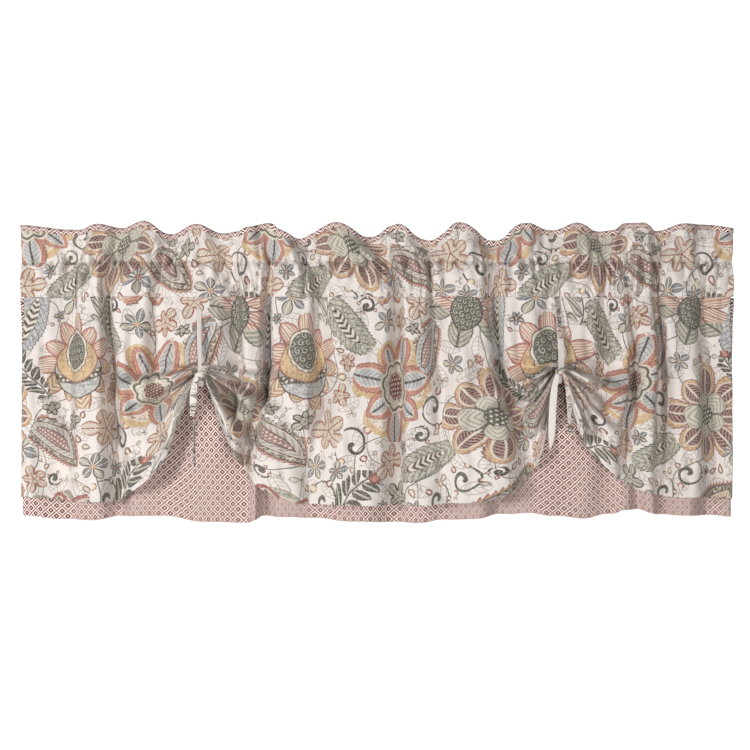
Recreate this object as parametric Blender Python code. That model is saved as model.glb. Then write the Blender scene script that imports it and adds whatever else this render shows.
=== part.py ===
"""Tie-up window valance: a floral heading and overlay over a backing in a small print, drawn up by two ties.

Units: tables in millimetres, geometry in metres. X runs along the window, -Y faces the room, +Z is up.
The origin is the middle of the top edge's crown line, in the plane of the curtain rod that it hangs from.
"""

import math

import bmesh
import bpy
from mathutils import Vector

MM = 0.001

# Driving dimensions
HUNG_WIDTH = 1198 * MM
CLOTH = 1.2 * MM  # thickness of each sheet
PLY_GAP = 1.0 * MM  # air between two layers sewn together
SEAM_GAP = 0.55 * MM  # half the air between two pieces that meet at a seam
SEAM = -127 * MM  # the seam under the rod pocket, where the overlay starts
OVERLAY_HEM = -469 * MM
BACKING_HEM = -500 * MM  # the middle height of its uneven lower edge
HEADER_TOP = -3 * MM  # the floral header's edge inside the turned border
HEADER_STITCH = -67 * MM  # the row of stitches over the rod pocket
HOLD = 60 * MM  # below this the top edge's ups and downs have faded out
PLY = CLOTH + PLY_GAP  # from the middle of one layer to the middle of the next
TUCK_MOUTH = 8 * MM  # half the width of a tuck between its walls
TUCK_SPREAD = 34 * MM  # how fast a tuck's round bottom opens
STRAP = 1.2 * MM  # thickness of a strap

# How much longer the edges stay low beside a tuck than a plain wave would: 1 is a plain wave
CROWN = 1.25

# Heights at which the tables below give places
TOP, MIDDLE = 0.0, -284 * MM

# Each tuck from left to right: x at the top edge, seam, middle and hem, depth factor at the same four,
# how far its bottom leans sideways, height of the top edge there, and height of the backing's lower edge.
TUCKS = (
    #  top  seam   mid   hem  d_top d_seam d_mid d_hem lean edge bottom
    (-506, -515, -522, -528, 0.60, 0.75, 0.55, 0.50, 3, -13, -503),
    (-430, -454, -444, -437, 0.90, 1.10, 1.10, 0.95, -4, -10, -498),
    (-349, -370, -373, -366, 0.85, 0.70, 0.40, 0.20, 0, -20, -496),
    (-258, -238, -230, -221, 0.85, 0.85, 0.70, 0.35, 4, -17, -508),
    (-184, -189, -187, -194, 0.30, 0.95, 1.05, 0.90, -5, -3, -498),
    (-130, -98, -93, -110, 0.95, 1.00, 0.80, 0.50, 0, -22, -500),
    (-6, 34, 35, 32, 0.95, 1.00, 0.85, 0.90, 3, -27, -508),
    (81, 93, 106, 113, 0.85, 0.85, 0.50, 0.40, 0, -24, -503),
    (194, 197, 212, 211, 1.00, 1.10, 1.10, 1.00, -5, -26, -495),
    (294, 292, 297, 302, 0.75, 0.40, 0.10, 0.10, 0, -15, -496),
    (376, 383, 387, 397, 0.75, 0.75, 0.50, 0.30, 0, -13, -493),
    (422, 422, 439, 444, 0.30, 0.80, 0.85, 0.50, 3, -3, -486),
    (471, 468, 479, 483, 0.90, 1.05, 1.00, 0.90, -4, -15, -495),
    (554, 550, 555, 565, 0.40, 0.60, 0.50, 0.60, 3, -5, -496),
)

# Each lobe between two tucks, from the left edge to the right edge: how far it stands back from its layer's
# front line, height of the top edge there, and height of the backing's lower edge.
LOBES = (
    # back edge bottom
    (13, -6, -496),
    (2, -5, -503),
    (0, 0, -496),
    (3, -5, -506),
    (-2, -8, -503),
    (2, -10, -498),
    (-3, -2, -505),
    (1, -5, -508),
    (-2, -2, -501),
    (2, -2, -491),
    (0, -3, -500),
    (3, -9, -486),
    (1, -3, -491),
    (-2, -5, -495),
    (13, -11, -498),
)

# Plan of each layer by height: z, y of its front line, and depth of a tuck of factor 1.
HEADER_PLAN = ((0, -19, 38), (-36, -19, 38), (-67, -8, 14))
POCKET_FRONT_PLAN = ((-67, -8, 14), (-80, -26, 12), (-97, -35, 12), (-114, -26, 12), (-127, -8, 14))
POCKET_BACK_PLAN = ((-67, -8, 14), (-80, 12, 12), (-97, 20, 12), (-114, 12, 12), (-127, -8, 14))
BACKING_PLAN = (
    (-127, -8, 14),
    (-185, -5, 29),
    (-290, 4, 30),
    (-510, 5, 28),
)
OVERLAY_PLAN = (
    (-127, -8, 14),
    (-185, -27, 29),
    (-290, -37, 35),
    (-480, -36, 33),
)

# How soft the folds are by height: 0 is a flat front with narrow tucks, 1 an even wave.
HEADING_SOFT = ((0, 0.85), (-45, 0.7), (-67, 0.35), (-127, 0.15))
BACKING_SOFT = ((-127, 0.15), (-200, 0.2), (-320, 0.6), (-510, 0.75))
OVERLAY_SOFT = ((-127, 0.15), (-290, 0.1), (-480, 0.4))

# Lower edge of the overlay away from the ties: x and z.
OVERLAY_EDGE = ((-599, -461), (-500, -469), (-120, -473), (60, -475), (160, -470), (520, -461), (599, -464))

# Each tie: knot x and z, the height at which the cloth is pinched, and the overlay's hem as x and z
# from the knot outwards to each side.
TIES = {
    "left": {
        "knot": (-292, -257),
        "pinch": -240,
        "left_edge": (
            (-303, -267),
            (-316, -302),
            (-333, -343),
            (-349, -393),
            (-373, -425),
            (-407, -452),
            (-446, -469),
        ),
        "right_edge": (
            (-283, -267),
            (-276, -307),
            (-262, -343),
            (-246, -378),
            (-219, -428),
            (-181, -457),
            (-120, -471),
        ),
    },
    "right": {
        "knot": (302, -252),
        "pinch": -235,
        "left_edge": (
            (293, -262),
            (289, -330),
            (277, -390),
            (262, -422),
            (240, -448),
            (200, -464),
            (150, -470),
        ),
        "right_edge": (
            (311, -262),
            (326, -335),
            (349, -378),
            (375, -405),
            (402, -430),
            (440, -452),
            (505, -465),
        ),
    },
}
PINCH_DOWN = 0.34  # share of the overlay's length that hangs above the pinch
KNOT_HALF = 9 * MM  # half the width of the cloth gathered in a knot
KNOT_DEPTH = 0.3  # share of their depth that the folds keep at the knot
KNOT_REACH = 45 * MM  # how far from the knot they have it all
FAN_REACH = 130 * MM  # how far from a knot its folds fade out
FAN_DEPTH = 8 * MM
# The folds that fan out from a knot: share of the way from the pinch to the hem, and how far back each lies.
FAN_FOLDS = ((0, 0.2), (0.15, -1.0), (0.3, 0.5), (0.48, -0.9), (0.64, 0.5), (0.82, -0.8), (1, 0))

# The knots' half sizes, and how far each knot's middle stands in front of the rod's plane
KNOT_SIZE = (11, 8, 10)
KNOT_FRONT = 56

# Tie strips. Each row is x, y and z of the strip's middle, its width, and its turn about the upright
# in degrees.
STRIPS = {
    "left_strap_front": (
        (-299, -8.1, -129, 11, 0),
        (-298, -18, -150, 11, 10),
        (-296, -31, -180, 10, 25),
        (-294, -42, -215, 9, 30),
        (-292, -56, -246.4, 9, 10),
    ),
    "left_strap_back": (
        (-300, -12, -152, 11, 0),
        (-298, -16, -185, 11, 0),
        (-295, -20, -225, 10, 0),
        (-292, -24, -261, 10, 0),
        (-292, -34, -276, 9, 0),
        (-292, -44, -278, 9, 0),
        (-292, -52, -266.4, 9, 0),
    ),
    "left_tail_a": (
        (-301, -58, -266, 9, 0),
        (-302, -57, -285, 12, -6),
        (-303, -55, -305, 12, -10),
        (-303, -54, -326, 11, 0),
    ),
    "left_tail_b": (
        (-300, -51, -264, 8, 40),
        (-302, -47, -300, 11, 60),
        (-302, -45, -345, 11, 78),
        (-303, -44, -380, 11, 82),
        (-303, -44, -410, 10, 65),
    ),
    "right_strap_front": (
        (303, -14.2, -129, 9, 40),
        (303, -26, -155, 11, 60),
        (304, -31.5, -185, 11, 25),
        (306, -42, -215, 11, 0),
        (303, -56, -241.4, 10, 0),
    ),
    "right_strap_back": (
        (314, -12, -152, 11, 0),
        (312, -16, -185, 11, 0),
        (307, -20, -225, 10, 0),
        (302, -24, -256, 10, 0),
        (302, -34, -271, 9, 0),
        (302, -44, -273, 9, 0),
        (302, -52, -261.4, 9, 0),
    ),
    "right_tail_a": (
        (293, -58, -261, 9, 0),
        (290, -57, -290, 12, -5),
        (289, -55, -325, 12, -8),
        (288, -54, -360, 12, -4),
        (286, -53, -379, 5, 0),
    ),
    "right_tail_b": (
        (311.3, -58, -261, 8, 15),
        (316, -56, -285, 9, 30),
        (318, -54, -320, 9, 35),
        (318, -53, -356, 9, 20),
    ),
}

# Heights of the grids' rows between their first and last
HEADER_ROWS = (-20, -42)
POCKET_ROWS = (-80, -97, -114)
BACKING_ROWS = (-165, -215, -290, -390)
# The border where the cloth is turned over the top edge: height and how many layers it lies behind the middle
BORDER_ROWS = ((-9, -1.5), (-1.6, -1.5), (0, -0.9), (0, -0.1), (-1.8, 0.5))

# Where the grids have their columns, as a share of the way from a tuck's bottom to the next lobe's middle
FOLD_STEPS = (0.0, 0.2, 0.42, 0.66, 1.0)
# The lobe with a knot at its middle takes two columns there, this far to its left and right along the folds
SPLIT_LOBES = (3,)
SPLIT = 0.02


def ease(share):
    share = max(0.0, min(1.0, share))
    return share * share * (3 - 2 * share)


def eased(stations, place):
    """The value at a place between (place, value) stations, smooth and level at each."""
    for (start, first), (end, second) in zip(stations, stations[1:]):
        if (place - start) * (place - end) <= 0:
            return first + (second - first) * ease((place - start) / (end - start))
    nearest = min((stations[0], stations[-1]), key=lambda station: abs(station[0] - place))
    return nearest[1]


def tuck_value(row, first_column, z):
    """A tuck's x or depth factor at height z, from its four columns."""
    heights = (TOP, SEAM, MIDDLE, OVERLAY_HEM)
    return eased(list(zip(heights, row[first_column : first_column + 4])), z)


def neighbours(fold):
    """For a place along the folds (tuck i is at i + 0.5): the tuck, the nearest lobe, its side, and the share
    of the way from the tuck's bottom to the lobe's middle."""
    tuck = min(int(fold), len(TUCKS) - 1)
    across = 2 * (fold - tuck) - 1
    side = 1 if across > 0 else -1
    return tuck, tuck + (side > 0), side, abs(across)


def lobe_x(lobe, z):
    if lobe == 0:
        return -HUNG_WIDTH / 2
    if lobe == len(TUCKS):
        return HUNG_WIDTH / 2
    return MM * (tuck_value(TUCKS[lobe - 1], 0, z) + tuck_value(TUCKS[lobe], 0, z)) / 2


def plan(fold, z, stations, soft):
    """(x, y) of a layer's middle surface at a place along the folds and a height."""
    softness = eased(soft, z / MM)
    tuck, lobe, side, share = neighbours(fold)
    tuck_x = MM * tuck_value(TUCKS[tuck], 0, z)
    half = abs(lobe_x(lobe, z) - tuck_x)
    wall = TUCK_MOUTH * (1 - math.exp(-share * TUCK_SPREAD / TUCK_MOUTH))
    out = wall + (half - TUCK_MOUTH) * share**4
    out += (half * share - out) * softness
    lean = MM * TUCKS[tuck][8] * (1 - share) ** 2
    front = MM * eased([row[:2] for row in stations], z / MM)
    depth = MM * eased([(row[0], row[2]) for row in stations], z / MM) * tuck_value(TUCKS[tuck], 4, z)
    between = (LOBES[tuck][0] + LOBES[tuck + 1][0]) / 2
    back = MM * (between + (LOBES[lobe][0] - between) * ease(share))
    rise = math.sin(math.pi / 2 * min(1.0, share / (0.64 + 0.36 * softness))) ** 2
    return Vector((tuck_x + side * out + lean, front + back + depth * (1 - rise)))


def hanging(z, stations, soft, offset):
    """A row of points of a layer at one height, set off its middle line towards the window by the offset."""
    line = [plan(fold, z, stations, soft) for fold in fold_places()]
    row = []
    for here, before, after in zip(line, line[:1] + line[:-1], line[1:] + line[-1:]):
        first = (here - before).normalized() or (after - here).normalized()
        second = (after - here).normalized() or first
        along = (first + second).normalized()
        out = offset / max(0.5, along.dot(first))
        row.append(Vector((here.x - along.y * out, here.y + along.x * out, z)))
    return row


def edge_height(fold, lobe_column, tuck_column):
    tuck, lobe, _, share = neighbours(fold)
    low = TUCKS[tuck][tuck_column]
    return MM * (low + (LOBES[lobe][lobe_column] - low) * ease(share**CROWN))


def top_edge(fold):
    return edge_height(fold, 1, 9)


def bottom_edge(fold):
    return edge_height(fold, 2, 10)


def fold_places():
    """Columns of a grid: the same few places in each tuck, so that every fold keeps its shape."""
    places = []
    for tuck in range(len(TUCKS)):
        places += [tuck + 0.5 - 0.5 * share for share in reversed(FOLD_STEPS)]
        if tuck in SPLIT_LOBES:
            places[-len(FOLD_STEPS)] -= SPLIT
            places.insert(-len(FOLD_STEPS) + 1, tuck + SPLIT)
        places += [tuck + 0.5 + 0.5 * share for share in FOLD_STEPS[1:-1]]
    return places + [float(len(TUCKS))]


def along_edge(points, share):
    """The point at a share of the length of an edge given by its (x, z) corners in millimetres."""
    corners = [Vector(point) * MM for point in points]
    lengths = [(b - a).length for a, b in zip(corners, corners[1:])]
    left = share * sum(lengths)
    for (a, b), length in zip(zip(corners, corners[1:]), lengths):
        if left <= length:
            return a.lerp(b, left / length)
        left -= length
    return corners[-1]


def drawn_up(point, down):
    """An overlay point moved to where the nearer tie draws it. down is its share of the way to the hem."""
    tie = TIES["left"] if point.x < 0 else TIES["right"]
    knot_x, pinch = tie["knot"][0] * MM, tie["pinch"] * MM
    edge = tie["left_edge"] if point.x < knot_x else tie["right_edge"]
    away = max(0.0, abs(point.x - knot_x) - KNOT_HALF) / (abs(edge[-1][0] * MM - knot_x) - KNOT_HALF)
    if away >= 1:
        return Vector((point.x, point.y, SEAM - SEAM_GAP + (overlay_edge(point.x) - SEAM + SEAM_GAP) * down))
    hem = along_edge(edge, away)
    below = max(0.0, (down - PINCH_DOWN) / (1 - PINCH_DOWN))
    z = pinch + (hem.y - pinch) * below
    if down < PINCH_DOWN:
        z = SEAM - SEAM_GAP + (pinch - SEAM + SEAM_GAP) * down / PINCH_DOWN
    x = point.x + (hem.x - point.x) * ease((down - 0.6 * PINCH_DOWN) / (1 - 0.6 * PINCH_DOWN))
    fade = 1 - ease(abs(x - knot_x) / FAN_REACH)
    fade *= KNOT_DEPTH + (1 - KNOT_DEPTH) * ease(abs(x - knot_x) / KNOT_REACH)
    fade *= ease(down / PINCH_DOWN)
    return Vector((x, point.y + FAN_DEPTH * fade * eased(FAN_FOLDS, below), z))


def overlay_edge(x):
    return MM * eased(OVERLAY_EDGE, x / MM)


def clear_scene():
    for found in list(bpy.data.objects):
        bpy.data.objects.remove(found, do_unlink=True)


def finish(name, base_color, roughness):
    material = bpy.data.materials.new(name)
    material.use_nodes = True
    shader = material.node_tree.nodes["Principled BSDF"]
    shader.inputs["Base Color"].default_value = (*base_color, 1)
    shader.inputs["Roughness"].default_value = roughness
    shader.inputs["Metallic"].default_value = 0.0
    return material


def linked(name, mesh, material):
    mesh.materials.append(material)
    piece = bpy.data.objects.new(name, mesh)
    bpy.context.scene.collection.objects.link(piece)
    return piece


def sheet(name, rows, material, thickness=CLOTH):
    """A cloth piece from rows of points, each as thick to both sides of them."""
    mesh = bpy.data.meshes.new(name)
    form = bmesh.new()
    grid = [[form.verts.new(point) for point in row] for row in rows]
    for upper, lower in zip(grid, grid[1:]):
        for a, b, c, d in zip(upper, upper[1:], lower[1:], lower):
            form.faces.new((a, d, c, b))
    form.to_mesh(mesh)
    form.free()
    mesh.shade_smooth()
    piece = linked(name, mesh, material)
    solid = piece.modifiers.new("Thickness", "SOLIDIFY")
    solid.thickness = thickness
    solid.offset = 0
    return piece


def raised(row, edge, hold):
    """The row with each point moved up or down with the edge at its fold, as far as hold says."""
    return [point + Vector((0, 0, hold * edge(fold))) for point, fold in zip(row, fold_places())]


def grid_rows(first, between, last, stations, soft, offset):
    """Rows from the first to the last height, with the top edge's ups and downs fading out below it."""
    rows = []
    for z in (first, *(height * MM for height in between), last):
        rows.append(raised(hanging(z, stations, soft, offset), top_edge, 1 - ease(-z / HOLD)))
    return rows


def header_front(material):
    """The floral header ruffle, under the border."""
    low = HEADER_STITCH + SEAM_GAP
    rows = grid_rows(HEADER_TOP, HEADER_ROWS, low, HEADER_PLAN, HEADING_SOFT, -PLY / 2)
    return sheet("header_front", rows, material)


def header_back(material):
    """From the border on the front, over the top edge, down behind the header to the row of stitches."""
    rows = []
    for height, plies in BORDER_ROWS:
        row = hanging(height * MM, HEADER_PLAN, HEADING_SOFT, plies * PLY)
        rows.append(raised(row, top_edge, 1))
    low = HEADER_STITCH + SEAM_GAP
    rows += grid_rows(HEADER_ROWS[0] * MM, HEADER_ROWS[1:], low, HEADER_PLAN, HEADING_SOFT, PLY / 2)
    return sheet("header_back", rows, material)


def pocket(name, stations, side, material):
    """The front or the back of the rod pocket, between its two rows of stitches."""
    high, low = HEADER_STITCH - SEAM_GAP, SEAM + SEAM_GAP
    rows = grid_rows(high, POCKET_ROWS, low, stations, HEADING_SOFT, side * PLY / 2)
    return sheet(name, rows, material)


def backing(material):
    """The panel behind the overlay, from the seam to its own lower edge."""
    high = SEAM - SEAM_GAP
    rows = grid_rows(high, BACKING_ROWS, BACKING_HEM, BACKING_PLAN, BACKING_SOFT, PLY / 2)
    rows[-1] = raised(rows[-1], lambda fold: bottom_edge(fold) - BACKING_HEM, 1)
    return sheet("backing", rows, material)


def overlay(material):
    """The panel that is sewn on at the seam and drawn up by the ties, with a row on each fold of the fans."""
    above = [0.0, PINCH_DOWN / 2, PINCH_DOWN]
    below = [PINCH_DOWN + (1 - PINCH_DOWN) * share for share, _ in FAN_FOLDS[1:]]
    rows = []
    for down in above + below:
        z = SEAM - SEAM_GAP + (OVERLAY_HEM - SEAM) * down
        row = hanging(z, OVERLAY_PLAN, OVERLAY_SOFT, -PLY / 2)
        rows.append([drawn_up(point, down) for point in row])
    return sheet("overlay", rows, material)


def strip(name, material):
    """A flat tie strip along its path, three points wide so that it can be a little hollow."""
    rows = []
    for x, y, z, width, turn in STRIPS[name]:
        half = Vector((math.cos(math.radians(turn)), math.sin(math.radians(turn)), 0)) * width / 2
        middle = Vector((x, y, z))
        rows.append([(middle - half) * MM, middle * MM, (middle + half) * MM])
    return sheet(name, rows, material, STRAP)


def knot(side, material):
    """The knot of one tie: a flattened ball with a hollow round its waist, where the strips cross."""
    form = bmesh.new()
    bmesh.ops.create_uvsphere(form, u_segments=14, v_segments=9, radius=1)
    x, z = TIES[side]["knot"]
    for vert in form.verts:
        waist = 1 - 0.16 * math.exp(-((vert.co.z / 0.35) ** 2))
        vert.co.x *= KNOT_SIZE[0] * waist
        vert.co.y *= KNOT_SIZE[1] * waist
        vert.co.z *= KNOT_SIZE[2]
        vert.co = (vert.co + Vector((x, -KNOT_FRONT, z))) * MM
    mesh = bpy.data.meshes.new(f"{side}_knot")
    form.to_mesh(mesh)
    form.free()
    mesh.shade_smooth()
    return linked(f"{side}_knot", mesh, material)


def main():
    clear_scene()
    floral = finish("floral cloth", (0.78, 0.72, 0.68), 0.9)
    small_print = finish("small print cloth", (0.62, 0.42, 0.38), 0.9)
    header_front(floral)
    header_back(small_print)
    pocket("pocket_front", POCKET_FRONT_PLAN, -1, floral)
    pocket("pocket_back", POCKET_BACK_PLAN, 1, small_print)
    overlay(floral)
    backing(small_print)
    for side in TIES:
        knot(side, floral)
    for name in STRIPS:
        strip(name, floral)


main()
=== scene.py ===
import math
from functools import partialmethod

import bmesh
import bpy
import numpy as np
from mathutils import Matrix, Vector


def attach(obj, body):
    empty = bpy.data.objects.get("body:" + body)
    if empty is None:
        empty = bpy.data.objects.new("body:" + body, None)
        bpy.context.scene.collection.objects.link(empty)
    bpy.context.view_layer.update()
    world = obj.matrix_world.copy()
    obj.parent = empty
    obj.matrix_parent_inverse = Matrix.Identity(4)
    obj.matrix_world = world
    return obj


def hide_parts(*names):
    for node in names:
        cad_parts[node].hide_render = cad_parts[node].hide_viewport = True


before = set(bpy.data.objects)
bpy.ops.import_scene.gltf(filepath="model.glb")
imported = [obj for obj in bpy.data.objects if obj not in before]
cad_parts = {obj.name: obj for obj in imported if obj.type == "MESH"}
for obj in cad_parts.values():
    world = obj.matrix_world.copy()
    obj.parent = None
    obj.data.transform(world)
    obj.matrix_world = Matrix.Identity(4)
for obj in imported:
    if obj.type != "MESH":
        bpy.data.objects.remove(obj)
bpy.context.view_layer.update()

MM = 0.001

# ---------------------------------------------------------------- sizes and folds of the cloth
HUNG_WIDTH = 1198
PLY = 2.2  # from the middle of one layer to the middle of the next
HEADER_STITCH, SEAM = -67, -127
OVERLAY_HEM, BACKING_HEM = -469, -500
HOLD = 60  # below this the top edge's ups and downs have faded out
HEIGHTS = (0, SEAM, -284, OVERLAY_HEM)  # the four heights that the table of tucks is given at
CLOTH = 0.7  # how thick a cloth is

# Each tuck: x and depth factor at the four heights, sideways lean of its bottom, half width of its mouth,
# how much softer than its layer it is, height of the top edge and of the backing's lower edge there.
TUCKS = (
    #  top  seam   mid   hem  d_top d_seam d_mid d_hem lean mouth soft edge bottom
    (-506, -515, -522, -528, 0.60, 0.75, 0.55, 0.50, 3, 8, 0.45, -13, -503),
    (-430, -454, -444, -437, 0.90, 1.10, 1.10, 0.95, -6, 6, 0.0, -10, -498),
    (-349, -370, -373, -366, 0.85, 0.70, 0.40, 0.20, 0, 8, 0.3, -20, -496),
    (-258, -238, -230, -221, 0.85, 0.85, 0.75, 0.40, 5, 9, 0.25, -17, -508),
    (-184, -189, -187, -194, 0.30, 0.95, 1.05, 0.95, 10, 5, 0.0, -3, -498),
    (-130, -98, -93, -110, 0.95, 1.00, 0.80, 0.50, -4, 7, 0.15, -22, -500),
    (-7, 34, 35, 32, 0.95, 1.00, 0.85, 0.90, 5, 5, 0.05, -27, -508),
    (81, 93, 106, 113, 0.85, 0.85, 0.50, 0.40, 0, 8, 0.35, -24, -503),
    (194, 197, 212, 211, 1.00, 1.10, 1.10, 1.00, -9, 5, 0.0, -26, -495),
    (294, 292, 297, 302, 0.75, 0.40, 0.10, 0.10, 0, 8, 0.4, -15, -496),
    (376, 383, 387, 397, 0.75, 0.75, 0.50, 0.30, 0, 8, 0.35, -13, -493),
    (422, 422, 439, 444, 0.30, 0.80, 0.90, 0.60, -5, 6, 0.1, -3, -486),
    (471, 468, 479, 483, 0.90, 1.05, 1.00, 0.90, 8, 5, 0.05, -15, -495),
    (554, 550, 555, 565, 0.40, 0.60, 0.50, 0.60, 4, 8, 0.45, -5, -496),
)
TUCK_SPREAD = 34  # how far out of a tuck its walls run before the front of the lobe

# Each lobe between two tucks: how far it stands back, height of the top edge and of the backing's lower edge.
LOBES = (
    # back edge bottom
    (13, -6, -496),
    (2, -5, -503),
    (0, 0, -496),
    (3, -5, -506),
    (-2, -8, -503),
    (2, -10, -498),
    (-3, -2, -505),
    (1, -5, -508),
    (-2, -2, -501),
    (2, -2, -491),
    (0, -3, -500),
    (3, -9, -486),
    (1, -3, -491),
    (-2, -5, -495),
    (13, -11, -498),
)

# Each layer by height: z, y of its front line, depth of a tuck of factor 1.
HEADER_PLAN = ((0, -19, 30), (-36, -18, 28), (-67, -15, 17))
FRONT_PLAN = HEADER_PLAN + ((-82, -18, 19), (-97, -20, 18), (-112, -20, 20), (-127, -17, 24))
BACK_PLAN = HEADER_PLAN + ((-80, 12, 12), (-97, 20, 12), (-114, 12, 12), (-127, -14.6, 23))
BACKING_PLAN = ((-127, -12, 22), (-185, -5, 30), (-290, 4, 31), (-510, 5, 28))
OVERLAY_PLAN = ((-127, -17, 24), (-185, -24, 36), (-290, -35, 45), (-480, -34, 43))

# How soft the folds are by height: 0 is a flat front with narrow tucks, 1 an even wave.
HEADING_SOFT = ((0, 0.85), (-45, 0.7), (-67, 0.4), (-127, 0.25))
BACKING_SOFT = ((-127, 0.15), (-200, 0.2), (-320, 0.6), (-510, 0.75))
OVERLAY_SOFT = ((-127, 0.25), (-290, 0.42), (-480, 0.55))

# Creases in the overlay, placed one by one: x at the top and bottom, z at the top and bottom, how far it
# stands out (a trough is negative), half its width.
CREASES = (
    # x_top x_bottom z_top z_bottom height half
    (-560, -566, -150, -400, -2.9, 9),
    (-583, -577, -260, -460, 2.9, 8),
    (-486, -480, -135, -300, 3.6, 8),
    (-410, -405, -160, -330, -5.1, 7),
    (-424, -417, -180, -420, 4.3, 6),
    (-330, -338, -130, -220, -3.6, 7),
    (-272, -262, -130, -210, 3.6, 7),
    (-160, -166, -300, -465, 2.9, 8),
    (-128, -118, -300, -468, -5.1, 8),
    (-104, -60, -140, -290, 3.6, 10),
    (-56, -62, -330, -470, 2.9, 9),
    (-20, -8, -150, -260, -3.6, 8),
    (4, 12, -280, -470, 2.9, 7),
    (62, 60, -135, -220, 3.6, 8),
    (84, 92, -350, -470, -2.9, 9),
    (140, 150, -130, -300, 3.6, 9),
    (174, 168, -300, -468, 2.9, 8),
    (236, 240, -140, -330, -4.3, 8),
    (262, 256, -140, -225, 3.6, 7),
    (345, 352, -130, -220, -3.6, 7),
    (370, 362, -135, -200, 2.9, 6),
    (412, 428, -140, -230, 3.6, 7),
    (455, 462, -260, -462, 3.6, 7),
    (508, 512, -140, -340, -3.6, 9),
    (532, 526, -260, -460, 2.9, 9),
    (580, 585, -140, -420, -3.6, 8),
)

# Lower edge of the overlay away from the ties: x and z.
OVERLAY_EDGE = (
    (-599, -461), (-500, -469), (-120, -473), (60, -475), (160, -470), (520, -461), (599, -464),
)

# Each tie: knot x and z, the height of the pinch, the overlay's hem as x and z from the knot outwards to each
# side, and the folds that fan out from the knot on each side: direction in degrees from straight down, and how
# far back of their mean they lie there.
TIES = {
    "left": {
        "knot": (-292, -257),
        "pinch": -240,
        "edges": {
            -1: ((-303, -267), (-316, -302), (-333, -343), (-349, -393), (-373, -425), (-407, -452), (-446, -469)),
            1: ((-283, -267), (-276, -307), (-262, -343), (-246, -378), (-219, -428), (-181, -457), (-120, -471)),
        },
        "fans": {
            -1: ((0, 0.4), (14, 0.9), (30, -1.0), (42, 0.1), (52, 1.0), (66, -0.6), (76, -1.0), (88, 0.9), (108, 0)),
            1: (
                (0, 0.5), (14, 0.7), (26, -1.2), (37, 1.0), (45, 0.7), (56, -0.9), (68, 0.5), (80, -0.5), (92, 0.8),
                (110, 0),
            ),
        },
    },
    "right": {
        "knot": (302, -252),
        "pinch": -235,
        "edges": {
            -1: ((293, -262), (289, -330), (277, -390), (262, -422), (240, -448), (200, -464), (150, -470)),
            1: ((311, -262), (326, -335), (349, -378), (375, -405), (402, -430), (440, -452), (505, -465)),
        },
        "fans": {
            -1: (
                (0, 0.6), (12, 1.0), (25, -1.1), (35, 0.3), (42, -0.7), (51, 1.1), (64, -0.9), (76, 0.2), (90, 0.9),
                (110, 0),
            ),
            1: (
                (0, 0.8), (10, 0.6), (21, -1.1), (30, 0.2), (37, -0.8), (47, 1.2), (61, -1.1), (78, 0.3), (92, 0.9),
                (110, 0),
            ),
        },
    },
}
PINCH_DOWN = 0.34  # share of the overlay's length that hangs above the pinch
KNOT_HALF = 9  # half the width of the cloth that is gathered behind a knot
FAN_NEAR, FAN_FAR = 27, (95, 175)  # from the knot: where a fold is full, and where it starts and ends to fade
FAN_DEPTH = 21  # of a fold of factor 1
PINCH_DROOP = 0.42  # how steeply the pinch line falls away from the knot
PINCH_FALL = 34  # the most it falls
PINCH_LEVEL, PINCH_KEPT, PINCH_GONE = 12, 60, 170  # from the knot: where it starts, is full, and has faded out
LIP_REACH, LIP_OUT, LIP_DOWN = 64, 11, 8  # the fold of cloth that overhangs the pinch


def ease(share):
    share = np.clip(share, 0, 1)
    return share * share * (3 - 2 * share)


def eased(stations, place, column=1):
    """The value at a place between stations, smooth and level at each."""
    rows = sorted(stations)
    places = np.array([row[0] for row in rows], float)
    values = np.array([row[column] for row in rows], float)
    place = np.clip(place, places[0], places[-1])
    after = np.clip(np.searchsorted(places, place), 1, len(places) - 1)
    start, end = places[after - 1], places[after]
    return values[after - 1] + (values[after] - values[after - 1]) * ease((place - start) / (end - start))


def waves(place, pitch, seed):
    """Uneven ripples between -1 and 1 along a line."""
    chance = np.random.default_rng(seed)
    total = 0
    for ratio in (0.62, 0.83, 1.0, 1.37, 1.9):
        total = total + np.sin(2 * math.pi * (place / (pitch * ratio) + chance.random()))
    return total / 3.2


def crumple(x, z, pitch, seed):
    """Soft uneven dents of cloth that hangs: waves that lean a little either way from upright."""
    chance = np.random.default_rng(seed)
    total = 0
    for _ in range(7):
        across = (0.6 + 1.2 * chance.random()) / pitch
        slope = (chance.random() - 0.5) * 1.1
        total = total + np.sin(2 * math.pi * (across * (x + slope * z) + chance.random()))
    return total / 3.5


def by_tuck(column, z):
    """A tuck column's four values read at each height: one row a height, one column a tuck."""
    return np.stack([eased(list(zip(HEIGHTS, row[column : column + 4])), z) for row in TUCKS], axis=1)


def unevenness(z):
    """How much deeper or shallower than its table each tuck runs at each height."""
    return np.stack([1 + 0.22 * waves(z, 120, 40 + row) for row in range(len(TUCKS))], axis=1)


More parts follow.
